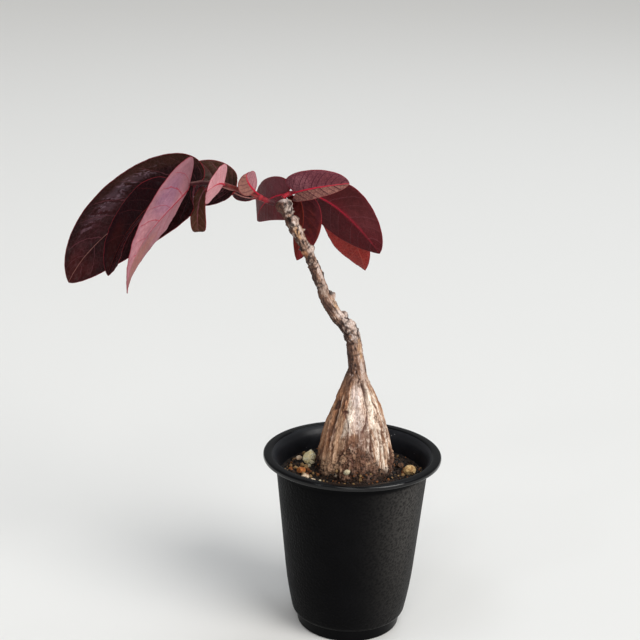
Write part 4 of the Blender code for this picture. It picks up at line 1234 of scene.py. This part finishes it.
OLIVE = tone(24, 6, 5)
# Pale mauve-grey and grey-green for the sheen painted on dark upper sides.
PAINTED_SHEEN_MAUVE = tone(138, 114, 126)
PAINTED_SHEEN_GREEN = tone(96, 92, 84)
OLIVE_BROWN = tone(62, 38, 24)
OLIVE_GREY = tone(52, 38, 30)
DARK_WINE = tone(26, 4, 8)
WINE_BROWN = tone(50, 15, 12)
MAUVE = tone(108, 58, 66)
PLUM = tone(98, 46, 49)
PINK = tone(166, 114, 120)
PALE_PINK = tone(196, 142, 148)
ROSE = tone(148, 104, 112)
VIOLET = tone(128, 92, 118)
BEIGE = tone(146, 100, 90)
MAROON = tone(78, 24, 28)
BRICK = tone(96, 30, 24)
# A coral brighter than the leaf's own red, standing in for light shining through it: a painted glow.
CORAL_BACKLIT = tone(146, 44, 42)
# A dull sheen painted on dark leaf sides.
PAINTED_DULL_SHEEN = tone(62, 28, 30)
EDGE_RED = tone(120, 26, 36)
RED_VEIN = tone(170, 30, 52)
CRIMSON = tone(142, 28, 44)
ORANGE_VEIN = tone(116, 40, 30)
PALE_VEIN = tone(158, 108, 100)
DARK_VEIN = tone(64, 24, 36)
CORAL_VEIN = tone(176, 84, 70)
# Leaves, each with its
#   joint: share of the way along the branchlet
#   mid, tip: places of the midrib's middle and tip
#   face, fold, twist, sway: where the upper side looks, fold and twist in degrees, and how far the midrib
#     sways to and fro
#   left, right: half-width of each half, how blunt its base and its tip are, how far it sweeps back
#   veining: lateral veins a side, their strength, the net's strength, the midrib's width, puckering
#   upper, under: colours of the left and right half; ribs, veins: colours above and below
#   fade: how far the midrib's colour fades towards the tip
#    patches, painted_sheen, streaks: colours on both sides, painted sheen in wrinkles above and colours in
#        wrinkles below, by place along
#      the blade, place across from -1 to 1, half-length, half-width, colour and share
LEFT_LEAVES = {
    "leaf_left_1": dict(
        joint=0.21, mid=(-54.8, 1, 223.2), tip=(-60.8, 5, 224.8), face=(-0.3, -0.3, 1), fold=6,
        left=(3.75, 0.5, 0.6, 0), right=(3.75, 0.5, 0.6, 0), veining=(6.5, 0.4, 0.3, 1, 0.03)),
    "leaf_left_2": dict(
        joint=0.26, mid=(-52.3, -14, 233.3), tip=(-53.1, -18, 238.7), face=(-0.73, 0.66, 0.18), fold=5,
        left=(6, 0.4, 0.45, 0), right=(6, 0.4, 0.45, 0), veining=(6.5, 0.5, 0.2, 1, 0.03),
        under=(PINK, BEIGE)),
    "leaf_left_3": dict(
        joint=0.42, mid=(-67.8, 2.2, 228.7), tip=(-82.9, 2.8, 227), face=(-0.17, -0.84, 0.51), fold=8,
        twist=2, sway=(0.2, 0.2, -1.6), left=(12.1, 0.55, 0.38, -0.4), right=(11.3, 0.5, 0.33, 0.6),
        veining=(7, 0.5, 0.2, 0.9, 0.1), upper=(OLIVE, OLIVE_GREY), under=(PINK, PINK),
        patches=((0.5, 0.8, 0.5, 0.4, OLIVE_BROWN, 0.6), (0.6, -0.3, 0.3, 0.5, DARK_WINE, 0.4)),
        painted_sheen=((0.7, 0, 0.25, 0.5, PAINTED_SHEEN_GREEN, 0.5),)),
    "leaf_left_4": dict(
        joint=0.58, mid=(-65.3, -33, 236.8), tip=(-69.4, -42, 235.3), face=(-0.9, 0.17, 0.37), fold=6,
        left=(9.7, 0.4, 0.5, 0), right=(10.8, 0.4, 0.5, 0), veining=(6, 0.3, 0.1, 1, 0.03),
        under=(PALE_PINK, PALE_PINK), veins=(MAUVE, RED_VEIN)),
    "leaf_left_5": dict(
        joint=0.67, mid=(-75, -23.4, 222.9), tip=(-74.5, -26, 212.7), face=(-0.2, -0.85, 0.35), fold=8,
        sway=(-0.4, 0.8, 0.8), left=(4.3, 0.5, 0.22, -1), right=(3.4, 0.25, 0.16, 2),
        veining=(6, 0.3, 0.1, 0.6, 0.05), upper=(OLIVE_BROWN, OLIVE_BROWN), ribs=(MAUVE, RED_VEIN),
        fade=0.7),
    "leaf_left_6": dict(
        joint=0.745, mid=(-101.6, -10, 220), tip=(-137.2, -17, 184.3), face=(-0.2, -0.83, 0.51),
        fold=4.5, twist=20, sway=(4.4, -0.9, 1.1), left=(18.8, 0.53, 0.58, 6.6),
        right=(20.7, 0.72, 0.85, 3.5), veining=(8, 0.35, 0.12, 0.6, 0.13),
        patches=((0.72, 0.4, 0.22, 0.4, PAINTED_DULL_SHEEN, 0.3), (0.94, 0, 0.12, 0.9, BRICK, 0.2),
                 (0.75, -0.5, 0.2, 0.4, PAINTED_DULL_SHEEN, 0.3), (0.3, 0.85, 0.4, 0.2, OLIVE_BROWN, 0.35)),
        painted_sheen=((0.5, 0.72, 0.18, 0.13, PAINTED_SHEEN_MAUVE, 0.42), (0.66, 0.6, 0.14, 0.2, PAINTED_SHEEN_MAUVE, 0.36),
               (0.8, 0.35, 0.15, 0.4, MAUVE, 0.15))),
    "leaf_left_7": dict(
        joint=0.88, mid=(-92, -51, 221.3), tip=(-101.7, -72, 196.1), face=(-0.84, 0.42, 0.36),
        fold=5.6, sway=(2.6, -2, 0.9), left=(19.2, 0.22, 1.3, -0.8), right=(14.9, 0.61, 0.8, -3),
        veining=(7, 0.75, 0.12, 0.9, 0.05), under=(ROSE, ROSE), ribs=(PALE_VEIN, CRIMSON),
        veins=(MAUVE, CRIMSON), fade=0.6,
        patches=((0.3, -0.45, 0.2, 0.45, VIOLET, 0.6), (0.75, 0.5, 0.3, 0.5, BEIGE, 0.8),
                 (0.7, -0.4, 0.3, 0.4, PINK, 0.7), (0.12, 0.2, 0.12, 0.8, PINK, 0.5)),
        streaks=((0.55, -0.5, 0.4, 0.4, PALE_PINK, 0.3),)),
    "leaf_left_tip": dict(
        joint=1, mid=(-103.9, -28, 217), tip=(-116.1, -32.4, 192.5), face=(-0.44, -0.44, 0.78),
        fold=22, sway=(0.1, -2, 0.2), left=(14.6, 0.52, 0.52, -0.7), right=(13.1, 0.42, 0.78, 1.9),
        veining=(7.5, 0.3, 0.1, 0.8, 0.08), upper=(DARK_WINE, DARK_WINE), ribs=(BRICK, RED_VEIN),
        veins=(MAROON, DARK_VEIN),
        patches=((0.6, -0.55, 0.5, 0.35, MAROON, 0.35), (0.8, 0.4, 0.3, 0.4, WINE_BROWN, 0.6)),
        painted_sheen=((0.5, -0.4, 0.3, 0.3, MAUVE, 0.3),)),
}
RIGHT_LEAVES = {
    "leaf_right_1": dict(
        joint=0.3, mid=(-45.2, 18, 217.5), tip=(-50.3, 34, 204), face=(0.9, 0.39, -0.04), fold=9,
        left=(14.6, 0.88, 0.08, 58), right=(12.6, 0.1, 0.7, 5), veining=(7, 0.3, 0.1, 0.9, 0.03),
        under=(PLUM, PLUM), veins=(MAUVE, MAROON),
        patches=((0.35, -0.6, 0.3, 0.6, MAUVE, 0.6), (0.7, 0.4, 0.4, 0.6, MAROON, 0.6))),
    "leaf_right_2": dict(
        joint=0.33, mid=(-20.5, -3, 229.7), tip=(-5.1, -1.4, 231.7), face=(-0.04, 0.96, 0.28), fold=9,
        twist=8, left=(6.8, 0.22, 0.5, 10), right=(9.4, 0.32, 0.6, 6),
        veining=(8.5, 1, 0.6, 1, 0.05), under=(BEIGE, MAUVE),
        patches=((0.75, 0.4, 0.25, 0.5, PLUM, 0.5), (0.2, 0.4, 0.2, 0.5, PINK, 0.25))),
    "leaf_right_3": dict(
        joint=0.56, mid=(-27.2, 10, 206), tip=(-29.7, 13.4, 189.4), face=(0.24, 0.97, -0.01), fold=5.8,
        twist=1, sway=(0.9, -0.6, -0.1), left=(7.2, 0.06, 0.74, 7.5), right=(9, 0.3, 0.6, 2),
        veining=(7, 0.6, 0.2, 0.5, 0.07), upper=(WINE_BROWN, WINE_BROWN), under=(BRICK, TWIG_MAROON),
        ribs=(PALE_VEIN, ORANGE_VEIN), veins=(MAUVE, MAROON),
        patches=((0.8, 0.5, 0.25, 0.5, CORAL_BACKLIT, 0.5), (0.25, -0.4, 0.25, 0.6, WINE_BROWN, 0.5),
                 (0.5, 1, 0.3, 0.2, ORANGE_VEIN, 0.5), (0.3, 0.4, 0.3, 0.4, WINE_BROWN, 0.5)),
        streaks=((0.5, 0.5, 0.35, 0.45, BRICK, 0.6),)),
    "leaf_right_4": dict(
        joint=0.74, mid=(-5.8, 24, 209.9), tip=(11.6, 27.5, 190), face=(0.39, 0.9, 0.18), fold=9,
        twist=1.5, sway=(-0.3, 1.9, 0.5), left=(15.6, 0.56, 0.69, -1.5), right=(14.6, 0.39, 0.75, -0.3),
        veining=(7.5, 0.35, 0.08, 1.4, 0.04), under=(MAROON, MAROON), ribs=(PALE_VEIN, CRIMSON),
        veins=(MAUVE, MAUVE), fade=0.85,
        patches=((0.3, -0.5, 0.25, 0.5, PAINTED_DULL_SHEEN, 0.6), (0.6, 0.5, 0.3, 0.5, PLUM, 0.6),
                 (0.85, 0, 0.15, 0.8, MAROON, 0.5), (0.5, 0, 0.5, 0.1, CRIMSON, 0.4),
                 (0.35, 0.6, 0.3, 0.4, WINE_BROWN, 0.5)),
        streaks=((0.5, -0.5, 0.3, 0.4, PLUM, 0.4),)),
    "leaf_right_tip": dict(
        joint=1, mid=(-5.2, 30.3, 202.4), tip=(5.2, 42, 177.1), face=(0.4, 0.87, 0.29), fold=6.5,
        twist=-2.5, sway=(0.1, 2.3, 1.1), left=(14.4, 0.85, 0.61, -0.6), right=(9.2, 0.69, 0.99, 0),
        veining=(7, 0.4, 0.35, 0.9, 0.05), upper=(WINE_BROWN, WINE_BROWN), under=(CORAL_BACKLIT, CORAL_BACKLIT),
        ribs=(PALE_VEIN, CORAL_VEIN), veins=(MAUVE, CORAL_VEIN),
        patches=((0.8, 0, 0.25, 0.8, BRICK, 0.2), (0.3, 0.3, 0.2, 0.5, CORAL_VEIN, 0.4)),
        streaks=((0.35, 0.4, 0.25, 0.5, CORAL_VEIN, 0.5),)),
}
STALK = 2.2
PETIOLE = 0.55
BLADE_HALF = 0.17       # half the blade's thickness
POINT_GAP = 0.42        # distance between neighbouring points of a blade
VEIN_RUN = 0.24         # how far a lateral vein runs on towards the tip, as a share of the length
VEIN_SINK = 0.05        # how deep it lies above, and how far it stands out below
VEIN_RISE = 0.07
RIB_HALF = 0.42         # the midrib's half-width at its base, then its depth above and height below
RIB_SINK = 0.1
RIB_RISE = 0.42
RIB_RISE_TIP = 0.1
WAVE = 0.28             # how far a blade waves and crinkles
CRINKLE = 0.06
STALK_ROUND = 0.3
STALK_ROWS = 9
SWAY_GAIN = 10.4        # makes a sway the midrib's greatest shift to either side


def along_tones(share, tones):
    places = [place for place, _ in tones]
    return np.array([np.interp(share, places, [colour[k] for _, colour in tones]) for k in range(3)])


def twig_radius(share, ends, joints):
    radius = ends[0] + (ends[1] - ends[0]) * share
    for joint in joints:
        radius = radius + SWELL * np.exp(-((share - joint) / 0.025) ** 2)
    return radius


def twig(node, points, ends, joints, tones, skin):
    """A branchlet that swells at each joint, with a scar, a wrinkled skin and a painted highlight along its
    top.
    """
    path = smooth_path(points, 22)
    ways = directions(path)
    side = np.cross(ways[0], (0.0, 0.0, 1.0))
    turns = np.arange(TWIG_SIDES) * FULL_TURN / TWIG_SIDES
    rings = []
    colours = [tones[0][1][None]]
    for number, (spot, way) in enumerate(zip(path, ways)):
        share = number / (len(path) - 1)
        side = unit(side - side.dot(way) * way)
        up = np.cross(side, way)
        radius = twig_radius(share, ends, joints)
        end = min(number, len(path) - 1 - number)
        radius = radius * TWIG_ENDS[end] if end < len(TWIG_ENDS) else radius
        out = np.cos(turns)[:, None] * side + np.sin(turns)[:, None] * up
        wrinkle = 0.05 * noise((spot + radius * out) / 0.9, 50) + 0.04 * np.sin(5 * turns + share * 9)
        rings.append(spot + (radius + wrinkle)[:, None] * out)
        # Painted highlight: the upper side of the branchlet's middle a little paler.
        top = step(out[:, 2], 0.2, 0.95) * step(share, 0.35, 0.6)
        colour = mix(np.tile(along_tones(share, tones), (TWIG_SIDES, 1)), TWIG_PALE, 0.2 * top)
        scar = max(math.exp(-((share - joint + 0.02) / 0.012) ** 2) for joint in joints)
        colours.append(mix(colour, TWIG_MAROON, np.full(TWIG_SIDES, 0.6 * scar)))
    colours.append(tones[-1][1][None])
    points, faces = skin_over(path[0], rings, path[-1])
    piece(node + "_twig", points, faces, skin, (node,), {"paint": np.vstack(colours)})


def fullness(blade, base, end):
    """Share of the greatest half-width at one place along the blade."""
    peak = base / (base + end)
    return blade ** base * (1 - blade) ** end / (peak ** base * (1 - peak) ** end)


def rows_of(*values):
    """Grids of numbers side by side, one row to each point."""
    grids = [np.broadcast_to(value, values[0].shape).ravel() for value in values]
    return np.column_stack(grids)


def midrib(root, mid, tip, face, twist, sway, s):
    """Places along a leaf's midrib, the way it runs there, and the blade's own sideways and upward ways."""
    root, mid, tip, face = (np.array(p, float) for p in (root, mid, tip, face))
    pull = 2 * mid - (root + tip) / 2
    swayed = SWAY_GAIN * np.array(sway, float)
    spot = (1 - s) ** 2 * root + 2 * s * (1 - s) * pull + s * s * tip + s * (1 - s) * (1 - 2 * s) * swayed
    way = unit(2 * (1 - s) * (pull - root) + 2 * s * (tip - pull) + (1 - 6 * s + 6 * s * s) * swayed)
    normal = unit(face - (way @ face)[:, None] * way)
    level = np.cross(way, normal)
    turn = math.radians(twist) * (s - 0.5)
    across = np.cos(turn) * level + np.sin(turn) * normal
    return spot, way, across, np.cos(turn) * normal - np.sin(turn) * level


def two_sided(shape):
    """Faces of a blade whose upper side's grid of points is followed by its lower side's."""
    count = shape[0] * shape[1]
    grid = np.arange(count).reshape(shape)
    quads = np.stack([grid[:-1, :-1], grid[:-1, 1:], grid[1:, 1:], grid[1:, :-1]], axis=-1).reshape(-1, 4)
    rim = np.concatenate([grid[0, :], grid[1:, -1], grid[-1, -2::-1], grid[-2:0:-1, 0]]).tolist()
    edge = [(a, a + count, b + count, b) for a, b in zip(rim, rim[1:] + rim[:1])]
    return np.vstack([quads, quads[:, ::-1] + count]).tolist() + edge


def patched(body, table, blade, side, shift, core, strength=1.0):
    """Colours with a table's patches laid over them."""
    for along, across, long, wide, paint, most in table:
        away = np.hypot((blade - along) / long, (side - across) / wide)
        body = mix(body, paint, most * strength * step(away + shift, *core))
    return body


def leaf(name, root, number, skin, mid, tip, face, fold, left, right, veining, twist=0.0,
         sway=(0.0, 0.0, 0.0), upper=(OLIVE, OLIVE), under=(MAUVE, MAUVE), ribs=(PALE_VEIN, RED_VEIN),
         veins=(MAUVE, DARK_VEIN), fade=0.35, patches=(), painted_sheen=(), streaks=()):
    """A thin veined blade along a curved midrib, with a raised rib on its underside."""
    length = math.dist(mid, root) + math.dist(tip, mid)
    start = STALK / length
    row_count = max(30, int(length / POINT_GAP))
    half = max(9, int(max(left[0], right[0]) / POINT_GAP))
    even = np.linspace(0, 1, row_count)
    round_ends = 0.35 * even + 0.65 * (0.5 - 0.5 * np.cos(math.pi * even))
    share = np.concatenate([np.linspace(-0.35 * start, 0.92 * start, STALK_ROWS),
                            start + (1 - start) * round_ends])
    column = np.linspace(-1, 1, 2 * half + 1)
    is_right = column > 0

    s = share[:, None]
    spot, way, across, normal = midrib(root, mid, tip, face, twist, sway, s)
    blade = np.clip((share - start) / (1 - start), 0, 1)
    narrowest = np.where(share < 0.5, PETIOLE * 0.85, 0.1)
    wide, swept = [], []
    for width, base, end, sweep in (left, right):
        full = fullness(blade, base, end)
        wide.append(np.maximum(narrowest, width * full)[:, None])
        swept.append(sweep * full[:, None])
    reach = np.where(is_right, wide[1], wide[0])
    out = reach * column
    size = np.abs(column)[None] * np.ones((len(share), 1))
    blade = blade[:, None]
    back = np.where(is_right, swept[1], swept[0]) * size * (1 - blade) ** 2
    on_blade = step(s, start * 0.9, start * 1.6)
    v = s * length - back

    # Lateral veins: a number that grows by one from vein to vein, on paths that bend to the tip
    vein_count, vein_strength, net_strength, rib_size, pucker = veining
    vein_gap = length / vein_count
    phase = (v - STALK - VEIN_RUN * length * size ** 1.35 * (0.4 + 0.6 * reach / reach.max())) / vein_gap
    phase = phase + 0.12 * np.sin(3.1 * phase + number) + np.where(is_right, 0.35, 0.0)
    from_vein = np.abs((phase + 100.5) % 1 - 0.5) * vein_gap
    lateral = step(from_vein, 0.55, 0.1) * step(size, 1.0, 0.8) * on_blade
    quilt = np.cos(FULL_TURN * phase) * step(size, 0.02, 0.3) * step(size, 1.0, 0.75) * on_blade
    at = rows_of(out / 5.0, v / 5.0, np.float64(number * 7.3))
    waves = noise(at, 60).reshape(out.shape)
    crinkle = noise(at * 3.2, 61).reshape(out.shape)
    bend = (WAVE * waves * size + (CRINKLE + pucker) * crinkle - pucker * quilt) * on_blade
    rib = np.exp(-(out / (RIB_HALF * (1 - 0.55 * s))) ** 2)
    stalk = step(s, start * 2.2, start * 0.6)
    rounding = STALK_ROUND * stalk * np.sqrt(np.maximum(0.0, 1 - size ** 2))
    thick = BLADE_HALF * (0.3 + 0.7 * step(size, 1.0, 0.9)) + rounding
    lean = math.radians(fold)
    rise = np.abs(out) * math.sin(lean) + bend
    middle = (spot[:, None] + (out * math.cos(lean))[..., None] * across[:, None]
              + rise[..., None] * normal[:, None] - back[..., None] * way[:, None])
    above = thick - RIB_SINK * rib * on_blade - VEIN_SINK * lateral
    below = thick + (RIB_RISE * (1 - s) + RIB_RISE_TIP) * rib * on_blade + VEIN_RISE * lateral
    points = np.vstack([(middle + above[..., None] * normal[:, None]).reshape(-1, 3),
                        (middle - below[..., None] * normal[:, None]).reshape(-1, 3)])

    count = out.size
    shade = noise(at * 0.6, 62).reshape(out.shape)
    streaky = noise(rows_of(phase * 4.0, out / 3.2, np.float64(number + 0.5)), 63).reshape(out.shape)
    wrinkled = np.maximum(step(np.abs(streaky + 0.3 * crinkle), 0.13, 0.03), 0.3 * step(streaky, -0.1, 0.35))

    bare = 0.85 * (1 - on_blade) * np.ones_like(out)
    fading = fade * step(blade, 0.35, 0.9) * np.ones_like(out)
    marks = {"paint": [], "rib_paint": [], "vein_paint": [], "trait": []}
    for is_under, halves, wrinkles in ((0.0, upper, painted_sheen), (1.0, under, streaks)):
        side = int(is_under)
        body = mix(np.broadcast_to(halves[0], out.shape + (3,)), halves[1], step(out / 1.2, -0.5, 0.5))
        body = patched(body, patches, blade, column, 0.25 * waves, (1.3, 0.4))
        body = body * (1 + 0.14 * shade)[..., None]
        # Above, painted sheen in the wrinkles; below, the streaks' colours.
        body = patched(body, wrinkles, blade, column, 0.3 * waves, (1.2, 0.5), wrinkled)
        body = mix(body, (TWIG_BROWN, TWIG_BRIGHT)[side], bare)
        faded = mix(np.broadcast_to(ribs[side], body.shape), body, fading)
        marks["paint"].append(body.reshape(-1, 3))
        marks["rib_paint"].append(faded.reshape(-1, 3))
        marks["vein_paint"].append(np.tile(veins[side], (count, 1)))
        marks["trait"].append(rows_of(phase, reach * (1 - size), np.float64(is_under)))
    marks = {mark: np.vstack(values) for mark, values in marks.items()}
    marks["flat"] = np.tile(rows_of(out, v, size), (2, 1))
    marks["veining"] = np.tile((vein_strength, net_strength, rib_size), (2 * count, 1))
    marks["vein_gap"] = np.full(2 * count, vein_gap)
    piece(name + "_blade", points, two_sided(out.shape), skin, (name,), marks)


def veined_leaf():
    """Satin above and duller below, with lateral veins, a fine net and a red edge."""
    skin = Skin("leaf", 0.4, 0.08)
    x, v, size = skin.split(skin.mark("flat"))
    phase, rim_distance, under = skin.split(skin.mark("trait"))
    vein_strength, net_strength, rib_size = skin.split(skin.mark("veining"))
    paint = skin.mark("paint", "Color")
    flat = skin.add("ShaderNodeCombineXYZ", {"X": x, "Y": v, "Z": 0.0}).outputs[0]
    phase = skin.plus(phase, skin.ramp(skin.noise(flat, 0.35, 2.0), 0.2, 0.8, -0.04, 0.04))
    part = skin.math("SUBTRACT", skin.math("FRACT", skin.plus(phase, 100.5)), 0.5)
    from_vein = skin.times(skin.math("ABSOLUTE", part), skin.mark("vein_gap", "Fac"))
    lateral = skin.times(skin.ramp(from_vein, 0.3, 0.08), skin.ramp(size, 0.97, 0.75))
    rib_half = skin.times(skin.math("MAXIMUM", skin.math("MULTIPLY_ADD", v, -0.009, 0.52), 0.16), rib_size)
    rib = skin.ramp(skin.math("DIVIDE", skin.math("ABSOLUTE", x), rib_half), 1.15, 0.7)
    net = skin.ramp(skin.cells(flat, 0.62, "DISTANCE_TO_EDGE"), 0.09, 0.02)
    net_fine = skin.ramp(skin.cells(flat, 1.5, "DISTANCE_TO_EDGE"), 0.1, 0.02)
    mottle = skin.noise(flat, 0.5, 5.0, 0.65)
    dapple = skin.noise(flat, 3.2, 3.0, 0.6)
    skin.colour = skin.blend(skin.ramp(mottle, 0.3, 0.7), skin.tinted(paint, (0.78, 0.74, 0.76)), paint)
    skin.coat(skin.times(skin.ramp(dapple, 0.5, 0.75), 0.25), skin.tinted(paint, (1.25, 1.25, 1.3)))
    vein_paint = skin.mark("vein_paint", "Color")
    skin.coat(skin.times(skin.math("MAXIMUM", net, skin.times(net_fine, 0.5)), net_strength), vein_paint)
    skin.coat(skin.times(lateral, vein_strength), vein_paint)
    skin.coat(rib, skin.mark("rib_paint", "Color"))
    skin.coat(skin.times(skin.ramp(rim_distance, 0.42, 0.16), 0.8), EDGE_RED)
    roughness = skin.plus(skin.ramp(under, 0.0, 1.0, 0.17, 0.56), skin.ramp(dapple, 0.3, 0.7, -0.04, 0.06))
    height = skin.math("MULTIPLY_ADD", lateral, 0.5, skin.times(net, 0.35))
    height = skin.times(height, skin.ramp(under, 0.0, 1.0, -1.0, 1.0))
    height = skin.plus(height, skin.times(dapple, 0.5))
    return skin.finish(roughness, skin.bump(height, 0.00018, 0.8))


def red_twig():
    skin = Skin("twig", 0.5, 0.2)
    spot = skin.spot()
    paint = skin.mark("paint", "Color")
    streak = skin.noise(spot, 900.0, 4.0, 0.6)
    lenticel = skin.ramp(skin.cells(spot, 1500.0), 0.16, 0.08)
    skin.colour = skin.blend(skin.ramp(streak, 0.35, 0.65), skin.tinted(paint, (0.62, 0.55, 0.55)), paint)
    skin.coat(skin.times(lenticel, 0.35), TWIG_PALE)
    return skin.finish(skin.ramp(streak, 0.3, 0.7, 0.38, 0.6), skin.bump(streak, 0.00025))


leaf_skin = veined_leaf()
twig_skin = red_twig()
number = 0
for node, points, ends, leaves, tones in (
        ("branchlet_left", LEFT_TWIG, TWIG_RADIUS_LEFT, LEFT_LEAVES, LEFT_TWIG_TONES),
        ("branchlet_right", RIGHT_TWIG, TWIG_RADIUS_RIGHT, RIGHT_LEAVES, RIGHT_TWIG_TONES)):
    joints = [values["joint"] for values in leaves.values()]
    twig(node, points, ends, joints, tones, twig_skin)
    path = smooth_path(points, 40)
    for joint, (name, values) in zip(joints, leaves.items()):
        place = round(joint * (len(path) - 1))
        spot = path[place]
        if joint == 1.0:
            root = spot + (SEAM + TIP_SLACK) * unit(path[-1] - path[-6])
        else:
            toward = unit(np.array(values["mid"]) - spot)
            along_twig = unit(path[min(len(path) - 1, place + 3)] - spot)
            toward = unit(toward - 0.85 * toward.dot(along_twig) * along_twig)
            root = spot + (twig_radius(joint, ends, joints) + SEAM + SIDE_SLACK) * toward
        traits = {key: value for key, value in values.items() if key != "joint"}
        leaf(name, root, number, leaf_skin, **traits)
        number += 1
